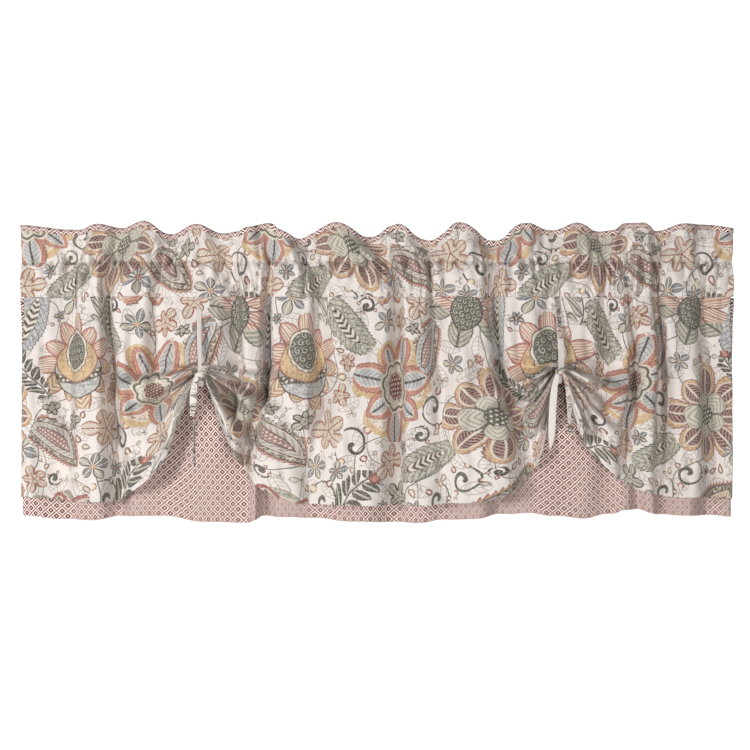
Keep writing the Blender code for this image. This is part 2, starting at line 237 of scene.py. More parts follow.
def hanging(folds, z, stations, soft, offset, half_width=HUNG_WIDTH / 2):
    """x and y of a layer over a grid of places along the folds (tuck i is at i + 0.5) and heights."""
    tuck = np.minimum(folds.astype(int), len(TUCKS) - 1)
    across = 2 * (folds - tuck) - 1
    side = np.where(across > 0, 1, -1)
    share = np.abs(across)[None, :]
    lobe = tuck + (side > 0)
    tucks_x = by_tuck(0, z)
    ends = np.full((len(z), 1), half_width)
    lobes_x = np.concatenate([-ends, (tucks_x[:, 1:] + tucks_x[:, :-1]) / 2, ends], axis=1)
    table = np.array(TUCKS, float)
    lean, mouth, softer = (table[tuck, column][None, :] for column in (8, 9, 10))
    base = eased(soft, z)[:, None]
    softness = base + (1 - base) * softer
    half = np.abs(lobes_x[:, lobe] - tucks_x[:, tuck])
    wall = mouth * (1 - np.exp(-share * TUCK_SPREAD / mouth))
    out = wall + (half - mouth) * share**4
    out = out + (half * share - out) * softness
    x = tucks_x[:, tuck] + side * out + lean * (1 - softness) * (1 - share) ** 2
    backs = np.array(LOBES, float)[:, 0]
    between = (backs[tuck] + backs[tuck + 1]) / 2
    back = between + (backs[lobe] - between) * ease(share)
    depth = eased(stations, z, 2)[:, None] * by_tuck(4, z)[:, tuck] * unevenness(z)[:, tuck]
    rise = np.sin(math.pi / 2 * np.minimum(1, share / (0.64 + 0.36 * softness))) ** 2
    y = eased(stations, z)[:, None] + back + depth * (1 - rise)
    along_x, along_y = np.gradient(x, axis=1), np.gradient(y, axis=1)
    length = np.hypot(along_x, along_y)
    return x - along_y / length * offset, y + along_x / length * offset


# Small corrections of the top edge: x and how much higher it stands there (minus is lower).
EDGE_TRIM = (
    (-300, 0), (-256, -2), (-246, -3), (-231, -7), (-216, -3), (-180, 0), (-163, -5), (-150, -8), (-130, -6),
    (-112, -2), (-30, 0), (12, 5), (32, 0), (70, -4), (92, -8), (113, -7), (130, -1), (170, 0), (194, -5),
    (214, -8), (234, -3), (270, 2), (330, 0), (376, -3), (396, -6), (412, 0),
)


def edge_height(folds, lobe_column, tuck_column):
    """The height of an edge along the folds, from its columns in the tables of lobes and tucks."""
    tuck = np.minimum(folds.astype(int), len(TUCKS) - 1)
    across = 2 * (folds - tuck) - 1
    lobe = tuck + (across > 0)
    low = np.array(TUCKS, float)[tuck, tuck_column]
    return low + (np.array(LOBES, float)[lobe, lobe_column] - low) * ease(np.abs(across) ** 1.35)


def top_edge(folds, x):
    """How far the ruffle's top edge stands above or below its crowns' height."""
    return edge_height(folds, 1, 11)[None, :] + eased(EDGE_TRIM, x)


def even_columns(count, z, stations, soft):
    """Places along the folds that lie evenly on the flat cloth, and the flat width of the cloth."""
    fine = np.linspace(0, len(TUCKS), 4000)
    x, y = hanging(fine, np.array(z, float), stations, soft, 0)
    steps = np.hypot(np.diff(x, axis=1), np.diff(y, axis=1)).mean(axis=0)
    length = np.concatenate([[0], np.cumsum(steps)])
    return np.interp(np.linspace(0, length[-1], count), length, fine), length[-1]


def rounded(corners, times=3):
    """A line with its corners cut off again and again, so that it runs smoothly."""
    for _ in range(times):
        cut = [corners[0]]
        for a, b in zip(corners, corners[1:]):
            cut += [a * 0.75 + b * 0.25, a * 0.25 + b * 0.75]
        corners = cut + [corners[-1]]
    return np.array(corners)


def along_line(points, share):
    """x and z at each share of a line's length."""
    line = rounded([np.array(point, float) for point in points])
    length = np.concatenate([[0], np.cumsum(np.hypot(*np.diff(line, axis=0).T))])
    return tuple(np.interp(share * length[-1], length, line[:, axis]) for axis in (0, 1))


def drawn_up(x, y, down):
    """The overlay's grid moved to where the ties draw it. down is the share of the way to the hem."""
    down = down[:, None] + np.zeros_like(x)
    z = SEAM + (eased(OVERLAY_EDGE, x) - SEAM) * down
    new_x, new_y, new_z = x.copy(), y.copy(), z.copy()
    for tie in TIES.values():
        knot_x, knot_z = tie["knot"]
        for side, edge in tie["edges"].items():
            reach = abs(edge[-1][0] - knot_x) - KNOT_HALF
            away = np.maximum(0, np.abs(x - knot_x) - KNOT_HALF) / reach
            hem_x, hem_z = along_line(edge, np.minimum(away, 1))
            below = np.maximum(0, (down - PINCH_DOWN) / (1 - PINCH_DOWN))
            above = np.minimum(1, down / PINCH_DOWN)
            far = np.abs(x - knot_x)
            droop = np.minimum(PINCH_FALL, PINCH_DROOP * np.maximum(0, far - PINCH_LEVEL))
            droop = droop * (1 - ease((far - PINCH_KEPT) / (PINCH_GONE - PINCH_KEPT)))
            pinch = tie["pinch"] - droop
            moved_z = np.where(down < PINCH_DOWN, SEAM + (pinch - SEAM) * above, pinch + (hem_z - pinch) * below)
            drawn = ease((down - 0.55 * PINCH_DOWN) / (1 - 0.55 * PINCH_DOWN))
            moved_x = x + (hem_x - x) * drawn
            beside, under = np.abs(moved_x - knot_x), knot_z + 10 - moved_z
            direction = np.degrees(np.arctan2(beside, under))
            apart = np.hypot(beside, under)
            fade = ease(apart / FAN_NEAR) * (1 - ease((apart - FAN_FAR[0]) / (FAN_FAR[1] - FAN_FAR[0])))
            ripple = eased(tie["fans"][side], direction)
            fan = FAN_DEPTH * fade * np.sign(ripple) * np.abs(ripple) ** 0.75 * (down >= 0.8 * PINCH_DOWN)
            over = 1 - ease(beside / LIP_REACH)
            lip = ease((above - 0.55) / 0.33) * (1 - ease((above - 0.9) / 0.1)) * (down < PINCH_DOWN) * over
            tucked = ease((above - 0.9) / 0.1) * (1 - ease(below / 0.12)) * over
            puff = 6 * tucked - LIP_OUT * lip
            moved_z = moved_z - LIP_DOWN * ease((above - 0.7) / 0.2) * lip
            here = (np.sign(x - knot_x) == side) & (away < 1)
            blend = 1 - ease((away - 0.86) / 0.14)
            new_x = np.where(here, x + (moved_x - x) * blend, new_x)
            new_y = np.where(here, y + (fan + puff) * blend, new_y)
            new_z = np.where(here, z + (moved_z - z) * blend, new_z)
    return new_x, new_y, new_z


# Between overlay and backing: the least way, how softly it is kept, and how far below the seam it is reached.
CLEAR, CLEAR_SOFT, CLEAR_FROM = 3.5, 1.5, 25
LEVEL_STEP, PLACE_STEP = 4.0, 2.0  # of the backing's table of y, down and across


def before_backing(x, y, z):
    """The overlay's y kept in front of the backing, easing off where a fold would reach it."""
    levels = np.arange(SEAM, BACKING_HEM - 14, -LEVEL_STEP)
    places = np.arange(-HUNG_WIDTH / 2, HUNG_WIDTH / 2 + 1, PLACE_STEP)
    folds = np.linspace(0, len(TUCKS), 1500)
    rows_x, rows_y = hanging(folds, levels, BACKING_PLAN, BACKING_SOFT, -PLY / 2, HUNG_WIDTH / 2 + 3)
    rows_y = rows_y - puckers(folds, levels[:, None])
    table = np.stack([np.interp(places, *row) for row in zip(rows_x, rows_y)])
    down = np.clip((SEAM - z) / LEVEL_STEP, 0, len(levels) - 1.001)
    along = np.clip((x - places[0]) / PLACE_STEP, 0, len(places) - 1.001)
    i, j = down.astype(int), along.astype(int)
    s, t = down - i, along - j
    upper = table[i, j] * (1 - t) + table[i, j + 1] * t
    lower = table[i + 1, j] * (1 - t) + table[i + 1, j + 1] * t
    limit = upper * (1 - s) + lower * s - CLEAR * ease((SEAM - z) / CLEAR_FROM)
    return limit - CLEAR_SOFT * np.logaddexp(0, (limit - y) / CLEAR_SOFT)


def creased(x, y, z):
    """The overlay's y with its single creases worked in."""
    for top_x, bottom_x, top, bottom, height, half in CREASES:
        share = np.clip((z - top) / (bottom - top), 0, 1)
        middle = top_x + (bottom_x - top_x) * share
        fade = ease((top + 25 - z) / 40) * ease((z - bottom + 25) / 40)
        y = y - height * fade * np.exp(-(((x - middle) / half) ** 2))
    return y


# ---------------------------------------------------------------- the print's repeat
REPEAT = np.array((640.0, 590.0))
# The motifs of the repeat that are placed one by one, in flat millimetres: kind, across, up, half length,
# slimness (half width by half length), turn in degrees, tone.
PLACED = (
    ("star flower", 118, 150, 104, 1, 12, 0.0),
    ("frilled flower", 346, 88, 100, 1, 200, 0.25),
    ("domed flower", 532, 196, 92, 1, 8, 0.0),
    ("feathered flower", 322, 302, 90, 1, 340, 0.1),
    ("frilled flower", 108, 400, 96, 1, 80, 0.9),
    ("star flower", 506, 448, 94, 1, 100, 1.0),
    ("curled leaf", 230, 226, 68, 0.55, 62, 0.0),
    ("long leaf", 234, 420, 88, 0.44, 100, 0.0),
    ("long leaf", 428, 282, 76, 0.42, 75, 0.3),
    ("long leaf", 6, 272, 74, 0.44, 128, 0.8),
    ("curled leaf", 340, 500, 80, 0.55, 205, 0.6),
    ("long leaf", 214, 6, 72, 0.44, 24, 0.9),
    ("curled leaf", 482, 32, 72, 0.55, 330, 0.3),
    ("branch", 608, 342, 74, 0.5, 70, 0.2),
    ("branch", 18, 524, 72, 0.5, 35, 0.7),
    ("branch", 428, 166, 58, 0.5, 120, 0.5),
    ("vine leaf", 602, 66, 46, 1, 20, 0.2),
    ("vine leaf", 402, 392, 42, 1, 140, 0.8),
    ("vine leaf", 206, 312, 34, 1, 80, 0.1),
    ("spray", 410, 20, 36, 1, 0, 0.3),
    ("tendril", 228, 110, 38, 1, 40, 0.4),
    ("tendril", 606, 520, 40, 1, 190, 0.1),
    ("tendril", 20, 40, 40, 1, 280, 0.6),
    ("tendril", 230, 524, 30, 1, 120, 0.2),
)
# What fills a gap of a size: least radius, most radius, and the kinds that take turns.
FILLERS = (
    (34, 50, ("vine leaf", "spray", "vine leaf")),
    (20, 34, ("vine leaf", "spray", "tendril", "spray", "vine leaf")),
    (11, 20, ("spray", "tendril", "sprig", "vine leaf")),
    (5, 11, ("bud", "sprig")),
)
SWELL = 1.16  # how much larger a motif is drawn than its cell
PRINT_SCALE = 0.86
GRID_STEP = 4.0  # between the places that are tried for the next filler
GAP = 1  # what is left between a filler and the cells beside it


def cell_gap(places, cell):
    """How far places lie outside a motif's cell, which is a disc or a round-ended bar, and the repeat's shift."""
    _, u, v, radius, slim, turn, _ = cell
    apart = places - (u, v)
    shift = REPEAT * np.round(apart / REPEAT)
    apart = apart - shift
    cos, sin = math.cos(math.radians(turn)), math.sin(math.radians(turn))
    along = np.maximum(0, np.abs(apart[..., 0] * cos + apart[..., 1] * sin) - radius * (1 - slim))
    across = apart[..., 1] * cos - apart[..., 0] * sin
    return np.hypot(along, across) - radius * slim, shift


def repeat_cells():
    """The repeat's motifs: those listed, then smaller ones wherever the widest gap is left."""
    cells = list(PLACED)
    ticks = (np.arange(0, side, GRID_STEP) for side in REPEAT)
    spots = np.stack(np.meshgrid(*ticks), axis=-1).reshape(-1, 2)
    room = np.full(len(spots), 1e9)
    taken = {kinds: 0 for _, _, kinds in FILLERS}
    for cell in cells:
        room = np.minimum(room, cell_gap(spots, cell)[0])
    while room.max() > FILLERS[-1][0] + GAP:
        spot = spots[room.argmax()]
        for least, most, kinds in FILLERS:
            if room.max() - GAP >= least:
                kind = kinds[taken[kinds] % len(kinds)]
                taken[kinds] += 1
                turn = (137.5 * len(cells)) % 360
                cell = (kind, *spot, min(room.max() - GAP, most), 1, turn, (0.381 * len(cells)) % 1)
                break
        cells.append(cell)
        room = np.minimum(room, cell_gap(spots, cell)[0])
    return cells


CELLS = repeat_cells()


# ---------------------------------------------------------------- materials
def tint(*levels):
    """A colour as it looks, 0 to 255, in the linear values that a shader takes."""
    return (*(((level / 255 + 0.055) / 1.055) ** 2.4 for level in levels), 1.0)


GROUND = tint(222, 214, 208)
CREAM = tint(214, 203, 186)
CORAL = tint(184, 132, 115)
BRICK = tint(148, 92, 82)
BURGUNDY = tint(118, 72, 68)
GOLD = tint(206, 179, 138)
OCHRE = tint(178, 143, 107)
SAGE = tint(144, 141, 125)
DARK_SAGE = tint(92, 90, 79)
PALE_SAGE = tint(190, 184, 169)
BLUE = tint(149, 148, 149)
DARK_BLUE = tint(106, 106, 108)
PALE_BLUE = tint(189, 187, 184)
TAUPE = tint(134, 118, 105)
INK = tint(80, 71, 66)
ROSE = tint(166, 130, 122)


class Value:
    """A number that varies over a piece, with arithmetic. It stands for an output of the material's nodes."""

    def __init__(self, tree, socket):
        self.tree, self.socket = tree, socket

    def step(self, operation, *others, clamp=False):
        node = self.tree.nodes.new("ShaderNodeMath")
        node.operation, node.use_clamp = operation, clamp
        for slot, item in zip(node.inputs, (self, *others)):
            if isinstance(item, Value):
                self.tree.links.new(item.socket, slot)
            else:
                slot.default_value = item
        return Value(self.tree, node.outputs[0])

    __add__ = partialmethod(step, "ADD")
    __sub__ = partialmethod(step, "SUBTRACT")
    __mul__ = partialmethod(step, "MULTIPLY")
    __truediv__ = partialmethod(step, "DIVIDE")
    size = partialmethod(step, "ABSOLUTE")
    whole = partialmethod(step, "FLOOR")
    fraction = partialmethod(step, "FRACT")
    wave = partialmethod(step, "SINE")
    root = partialmethod(step, "SQRT")
    least = partialmethod(step, "MINIMUM")
    most = partialmethod(step, "MAXIMUM")
    to_power = partialmethod(step, "POWER")

    def __rsub__(self, other):
        return self * -1.0 + other

    def share(self):
        """Held between 0 and 1, and never quite at either."""
        return self.most(0.0001).least(0.9999)

    def over(self, edge=0.0, blur=0.02):
        """1 where the value is above the edge, 0 where it is below, and a short slope between."""
        return self.step("MULTIPLY_ADD", 1 / blur, 0.5 - edge / blur, clamp=True)

    def under(self, edge, blur=0.02):
        """1 where the value is below the edge."""
        return (edge - self).over(0.0, blur)

    def near(self, width, blur=0.02):
        """1 where the value is within a width of zero, on either side of it: a line."""
        return self.size().under(width, blur)


class Dye:
    """A material of printed cloth while it is made: its nodes, places on the cloth, and its colour so far."""

    def __init__(self, name, ground=GROUND):
        self.material = bpy.data.materials.new(name)
        self.material.use_nodes = True
        self.tree = self.material.node_tree
        self.shader = self.tree.nodes["Principled BSDF"]
        self.colour = ground
        self.flat = self.map("cloth")

    def map(self, name):
        node = self.tree.nodes.new("ShaderNodeUVMap")
        node.uv_map = name
        return node.outputs[0]

    def parts(self, socket):
        node = self.tree.nodes.new("ShaderNodeSeparateXYZ")
        self.tree.links.new(socket, node.inputs[0])
        return Value(self.tree, node.outputs[0]), Value(self.tree, node.outputs[1])

    def noise(self, scale, detail=2.0, stretch=(1, 1, 1)):
        mapping = self.tree.nodes.new("ShaderNodeMapping")
        mapping.inputs["Scale"].default_value = stretch
        node = self.tree.nodes.new("ShaderNodeTexNoise")
        node.inputs["Scale"].default_value = scale
        node.inputs["Detail"].default_value = detail
        self.tree.links.new(self.flat, mapping.inputs[0])
        self.tree.links.new(mapping.outputs[0], node.inputs["Vector"])
        return Value(self.tree, node.outputs[0])

    def mix(self, mask, low, high, blend="MIX"):
        node = self.tree.nodes.new("ShaderNodeMix")
        node.data_type, node.blend_type = "RGBA", blend
        slots = [slot for slot in node.inputs if slot.enabled]
        for slot, item in zip(slots, (mask, low, high)):
            source = item.socket if isinstance(item, Value) else item
            if isinstance(source, bpy.types.NodeSocket):
                self.tree.links.new(source, slot)
            else:
                slot.default_value = source
        return next(slot for slot in node.outputs if slot.enabled)

    def lay(self, mask, colour, other=None):
        """Prints a colour over what is there, where the mask says. Of two colours, the motif's tone mixes one."""
        if other:
            colour = self.mix(self.tone, colour, other)
        self.colour = self.mix(mask, self.colour, colour)


class Form:
    """One shape in a motif: how far inside its outline, place across from its rib, place along from its root."""

    def __init__(self, dye, inside, across=None, along=None, only=None):
        self.dye, self.inside, self.across, self.along, self.only = dye, inside, across, along, only

    def within(self, mask):
        """The same shape, drawn only where the mask says."""
        return Form(self.dye, self.inside, self.across, self.along, mask)

    def fill(self, depth, *colours, pattern=None, blur=0.02):
        """Colours what is deeper inside the outline than the depth, or the pattern there."""
        self.dye.lay(self.masked(self.inside.over(depth, blur), pattern), *colours)

    def masked(self, mask, pattern=None):
        for other in (self.only, pattern):
            mask = mask * other if other else mask
        return mask

    def scribble(self, depth, width, *colours):
        """Fine wandering lines inside the outline."""
        self.fill(depth, *colours, pattern=self.dye.scrawl.under(width))

    def veins(self, depth, count, slope, width, *colours):
        self.fill(depth, *colours, pattern=veins(self.across, self.along, count, slope, width))

    def rib(self, depth, width, *colours):
        self.fill(depth, *colours, pattern=self.across.under(width, 0.012))

    def outline(self, width, *colours, depth=0.0):
        """A drawn line so many millimetres wide, along the edge or at a depth inside it."""
        line = self.dye.line * (width * 0.9) - (self.inside - depth).size()
        self.dye.lay(self.masked(line.over(0.0, 0.012)), *colours)


def angle(x, y):
    """The direction of a place, in turns."""
    return y.step("ARCTAN2", x) / (2 * math.pi)


def motif_dye(name):
    """A dye with the motif's own places: x and y from -1 to 1 in its cell, a little unsteady as if drawn."""
    dye = Dye(name)
    x, y = dye.parts(dye.map("motif"))
    dye.tone, radius = dye.parts(dye.map("motif_tone"))
    dye.line = radius.to_power(-1.0)
    unsteady = dye.line * 15.0
    dye.x = x + (dye.noise(17.0, 1.0) - 0.5) * unsteady
    dye.y = y + (dye.noise(14.0, 1.0, (1.13, 0.91, 1)) - 0.5) * unsteady
    dye.out = (dye.x * dye.x + dye.y * dye.y).root()
    dye.turn = angle(dye.x, dye.y)
    dye.scrawl = (dye.noise(135.0, 1.5) - 0.5).size()
    stems(dye)
    return dye


# The stems of the ground: slant, distance apart, sway, colour.
STEMS = ((0.55, 0.155, 0.16, DARK_SAGE), (-0.8, 0.21, -0.2, TAUPE))
STEM_HALF = 1.1 * MM
PALE_LEAF = 47 * MM  # how far apart the outlined leaves of the ground are


def stems(dye):
    """Behind the motifs: long thin stems that sway over the ground two ways, and leaves in outline alone."""
    u, v = dye.parts(dye.flat)
    for slant, apart, sway, colour in STEMS:
        across, along = u - v * slant, v + u * slant
        line = (across / apart + (along * (2 * math.pi / (apart * 1.15))).wave() * sway).fraction() - 0.5
        dye.lay((line.size() * apart).under(STEM_HALF, 0.7 * MM), colour)
    down = v / PALE_LEAF
    row = down.whole()
    across = u / PALE_LEAF + row * 0.5
    turn = row * 2.4 + across.whole() * 1.7
    cos, sin = (turn + math.pi / 2).wave(), turn.wave()
    x, y = across.fraction() - 0.5, down.fraction() - 0.5
    along = ((x * cos + y * sin) / 0.9 + 0.5).share()
    side = (y * cos - x * sin).size()
    inside = lens(along, 0.6, 0.9) * 0.22 - side
    drawn = inside.near(0.014, 0.012).most(side.under(0.011, 0.01))
    drawn = drawn.most(veins(side, along, 6, 4.0, 0.07) * inside.over(0.03))
    dye.lay(drawn * along.over(0.03, 0.03) * along.under(0.97, 0.03) * 0.7, TAUPE)


def lens(along, root, tip):
    """The half width of a leaf along its length, 1 at most: pointed where the number is 1, round at 0.5."""
    widest = (root / (root + tip)) ** root * (tip / (root + tip)) ** tip
    return along.to_power(root) * (1.0 - along).to_power(tip) * (1 / widest)


def petals(dye, count, inner, outer, full, shift, tip, root, teeth=0.0, uneven=0.07):
    """A ring of petals between two radii. full is the share of the ring that they take up."""
    place = dye.turn * count + (shift + 0.5)
    sector = place.fraction() - 0.5
    reach = (place.whole() * 2.4 + dye.tone * 5.0).wave() * uneven + (outer - uneven)
    along = ((dye.out - inner) / (reach - inner)).share()
    half = lens(along, root, tip) * (full * 0.5)
    if teeth:
        half = half - (along * 9.0).fraction() * teeth
    wide = dye.out * (2 * math.pi / count)
    ends = (dye.out - inner).least(reach - dye.out)
    return Form(dye, ((half - sector.size()) * wide).least(ends), sector.size() * wide, along)


def leaf(dye, length, width, at, turn, bend, root, tip, teeth=0.0):
    """One leaf from a point, turned so many degrees."""
    cos, sin = math.cos(math.radians(turn)), math.sin(math.radians(turn))
    x, y = dye.x - at[0], dye.y - at[1]
    far = x * cos + y * sin
    along = (far / length).share()
    side = y * cos - x * sin
    if bend:
        side = side - along * (1.0 - along) * (4 * bend)
    half = lens(along, root, tip) * width
    if teeth:
        half = half - (along * (length * 11.0)).fraction() * teeth
    return Form(dye, (half - side.size()).least(far.least(length - far)), side.size(), along)


def disc(dye, radius):
    return Form(dye, radius - dye.out)


def oval(dye, radius, up, wide=1.0, tall=1.0):
    """An oval above the motif's middle, narrower where wide is more than 1 and lower where tall is."""
    y = dye.y - up
    return Form(dye, radius - (dye.x * dye.x * wide + y * y * tall).root())


def cells(dye, pitch):
    """Staggered cells over the motif: place in each cell from its middle, and the distance from it."""
    down = dye.y / pitch
    x, y = (dye.x / pitch + down.whole() * 0.5).fraction() - 0.5, down.fraction() - 0.5
    return x, y, (x * x + y * y).root()


def flecks(dye, pitch, size):
    """Staggered dots."""
    return cells(dye, pitch)[2].under(size, 0.12)


def scales(dye, pitch):
    """Rows of overlapping scales, as lines."""
    x, y, _ = cells(dye, pitch)
    return ((x * x + (y + 0.5) * (y + 0.5)).root() - 0.55).near(0.07, 0.08)


def scrolls(dye, pitch, width):
    """Small curls side by side, as lines."""
    x, y, out = cells(dye, pitch)
    return ((angle(x, y) + out * 2.6).fraction() - 0.5).near(width, 0.1) * out.under(0.47, 0.1)


def veins(across, along, count, slope, width):
    """Slanting lines from a rib to a leaf's edge."""
    return ((along * count + across * slope).fraction() - 0.5).near(width, 0.12)


def star_flower(dye):
    outer = petals(dye, 6, 0.2, 0.93, 1.0, 0.3, 0.62, 0.5, 0.03)
    outer.fill(0.0, GOLD, SAGE)
    outer.scribble(0.03, 0.035, OCHRE, PALE_SAGE)
    outer.fill(0.14, CREAM)
    outer.scribble(0.16, 0.028, ROSE)
    outer.outline(1.0, OCHRE)
    inner = petals(dye, 7, 0.18, 1.0, 0.99, 0.0, 0.95, 0.62, 0.025, 0.12)
    inner.fill(0.0, CORAL, BRICK)
    inner.veins(0.02, 4, 16.0, 0.1, BRICK, CORAL)
    inner.fill(0.085, CREAM)
    inner.fill(0.105, PALE_BLUE, PALE_SAGE)
    inner.veins(0.115, 11, 9.0, 0.17, BLUE, SAGE)
    inner.rib(0.1, 0.018, INK)
    inner.outline(1.2, BRICK)
    scallop = (dye.turn * (8.0 * math.pi)).wave().size() * 0.055
    eye = Form(dye, scallop - dye.out)
    eye.fill(-0.38, CREAM)
    eye.fill(-0.345, DARK_SAGE, DARK_BLUE)
    eye.fill(-0.3, CREAM)
    eye.scribble(-0.28, 0.035, SAGE)
    Form(dye, scallop * 0.5 - dye.out).fill(-0.19, BURGUNDY)
    disc(dye, 0.19).fill(0.0, CREAM, pattern=flecks(dye, 0.068, 0.25))


def frilled_flower(dye):
    outer = petals(dye, 8, 0.18, 1.0, 1.0, 0.5, 0.62, 0.5, 0.05, 0.12)
    outer.fill(0.0, GOLD, CORAL)
    outer.scribble(0.02, 0.035, OCHRE, BRICK)
    outer.scribble(0.09, 0.02, CREAM)
    outer.outline(1.3, BRICK, INK)
    inner = petals(dye, 8, 0.3, 0.86, 0.66, 0.5, 0.85, 0.6, 0.0, 0.08)
    inner.fill(-0.025, CREAM)
    inner.fill(0.0, BURGUNDY, DARK_SAGE)
    inner.veins(0.01, 8, 9.0, 0.16, ROSE, PALE_SAGE)
    inner.rib(0.0, 0.016, CREAM)
    heart = petals(dye, 5, 0.02, 0.52, 0.98, 0.2, 0.4, 0.45, 0.03)
    heart.fill(0.0, PALE_SAGE, CREAM)
    heart.veins(0.03, 5, 9.0, 0.15, SAGE)
    heart.outline(1.2, DARK_SAGE)
    disc(dye, 0.17).fill(0.0, DARK_SAGE)
    disc(dye, 0.155).fill(0.0, CREAM, pattern=flecks(dye, 0.075, 0.26))


def domed_flower(dye):
    ring = petals(dye, 11, 0.3, 1.0, 1.0, 0.5, 0.85, 0.5, 0.02, 0.12)
    upper = (dye.y + 0.12).over(0.0, 0.05)
    crown, skirt = ring.within(upper), ring.within(1.0 - upper)
    crown.fill(0.0, CORAL, GOLD)
    crown.fill(0.035, CREAM)
    crown.veins(0.03, 1, 22.0, 0.24, CORAL, OCHRE)
    skirt.fill(0.0, OCHRE, SAGE)
    skirt.veins(0.03, 7, 9.0, 0.2, CREAM)
    ring.outline(1.2, BRICK, INK)
    bowl = oval(dye, 0.53, -0.14)
    bowl.fill(0.0, PALE_BLUE)
    bowl.fill(0.03, CREAM, pattern=scales(dye, 0.11))
    bowl.scribble(0.03, 0.035, BLUE)
    rim = 0.075 - (dye.y + dye.x * dye.x * -0.35 + 0.34).size()
    bowl.fill(0.0, DARK_SAGE, pattern=rim.over())
    bowl.fill(0.0, CREAM, pattern=rim.over(0.02) * flecks(dye, 0.09, 0.3))
    bowl.outline(1.2, INK)
    cup = oval(dye, 0.42, 0.04, 0.72)
    cup.fill(0.0, GOLD)
    cup.scribble(0.02, 0.035, OCHRE)
    cup.outline(1.0, BRICK)
    dome = oval(dye, 0.35, 0.2, 1.5)
    lace = Form(dye, dome.inside + (dye.turn * (11.0 * math.pi)).wave().size() * 0.035)
    lace.fill(-0.03, CREAM)
    dome.fill(0.0, DARK_SAGE)
    dome.fill(0.03, PALE_SAGE, pattern=scrolls(dye, 0.14, 0.14))
    lace.outline(1.0, INK, depth=-0.03)


def feathered_flower(dye):
    upper = (dye.y + 0.3 - dye.x.size() * 0.3).over(0.0, 0.04)
    crown = petals(dye, 11, 0.16, 1.0, 1.0, 0.0, 0.8, 0.8, 0.0, 0.12).within(upper)
    crown.fill(0.0, CREAM)
    crown.veins(0.0, 0.4, 20.0, 0.26, CORAL, TAUPE)
    crown.outline(1.2, BRICK, INK)
    frond = petals(dye, 5, 0.1, 0.92, 0.8, 0.25, 0.9, 0.6, 0.03).within(1.0 - upper)
    frond.fill(0.0, SAGE)
    frond.veins(0.0, 7, 8.0, 0.18, PALE_SAGE)
    frond.rib(0.0, 0.02, DARK_SAGE)
    frond.outline(1.2, DARK_SAGE)
    cup = oval(dye, 0.27, -0.1, 1.0, 0.7)
    cup.fill(0.0, DARK_SAGE)
    cup.fill(0.02, PALE_SAGE, pattern=scrolls(dye, 0.11, 0.15))
    cup.outline(1.2, INK)


def curled_leaf(dye):
    """A fat leaf that bends over to its tip, in nested outlines, with a small frill on its back."""
    frill = leaf(dye, 1.86, 0.5, (-0.95, 0.0), 0, 0.16, 0.6, 0.75, 0.07)
    frill.fill(0.0, CORAL, OCHRE)
    frill.outline(1.1, BRICK)
    body = leaf(dye, 1.7, 0.4, (-0.85, 0.0), 0, 0.15, 0.55, 0.8)
    body.fill(0.0, TAUPE, DARK_SAGE)
    body.scribble(0.02, 0.04, CREAM, PALE_SAGE)
    body.fill(0.13, CREAM)
    body.fill(0.15, PALE_BLUE, GOLD)
    body.veins(0.17, 14, 9.0, 0.2, BLUE, OCHRE)
    body.fill(0.27, ROSE, BURGUNDY)
    body.fill(0.29, CREAM, pattern=flecks(dye, 0.085, 0.27))
    for depth in (0.0, 0.13, 0.27):
        body.outline(0.9, INK, depth=depth)


def long_leaf(dye):
    """A slim leaf closely filled with scribble, with a pale eye and a row of marks in it."""
    dye.tone = dye.tone.over(0.5, 0.1)
    body = leaf(dye, 1.9, 0.36, (-0.95, 0.0), 0, 0.06, 0.6, 0.7, 0.035)
    body.fill(0.0, PALE_BLUE, PALE_SAGE)
    body.scribble(0.02, 0.05, BLUE, SAGE)
    body.veins(0.03, 12, 7.0, 0.07, DARK_BLUE, DARK_SAGE)
    body.outline(1.2, DARK_BLUE, DARK_SAGE)
    eye = leaf(dye, 1.15, 0.13, (-0.6, 0.03), 0, 0.03, 0.7, 0.9)
    eye.fill(0.0, CREAM)
    eye.veins(0.015, 8, -6.0, 0.24, INK)
    eye.outline(0.7, DARK_BLUE)


def branch(dye):
    """A bending stem with leaves along both sides and a bud at its end."""
    dye.tone = dye.tone.over(0.4, 0.05)
    off = dye.y - (dye.x * 2.6 + 0.4).wave() * 0.16
    far = off.size()
    ends = dye.x.size().under(0.8, 0.05)
    place = (dye.x * 3.1 - far * 2.0 + off.over(0.0, 0.01) * 0.5).fraction() - 0.5
    length = (1.0 - dye.x * dye.x * 0.5) * 0.42
    along = ((far - 0.03) / length).share()
    inside = (lens(along, 0.6, 0.8) * 0.4 - place.size()) * 0.26 * ends
    leaves = Form(dye, inside.least((length + 0.03 - far) * 0.5))
    leaves.fill(0.0, PALE_SAGE, DARK_SAGE, blur=0.015)
    leaves.fill(0.015, DARK_SAGE, PALE_SAGE, pattern=place.near(0.07, 0.04))
    leaves.within(ends).outline(0.9, INK)
    dye.lay((dye.line * 1.3 - far).over(0.0, 0.01) * dye.x.near(0.9), DARK_SAGE)
    tip = leaf(dye, 0.32, 0.1, (0.66, 0.08), -8, 0, 0.5, 0.8)
    tip.fill(0.0, BRICK)
    tip.fill(0.05, CORAL)
    tip.outline(0.9, BURGUNDY)


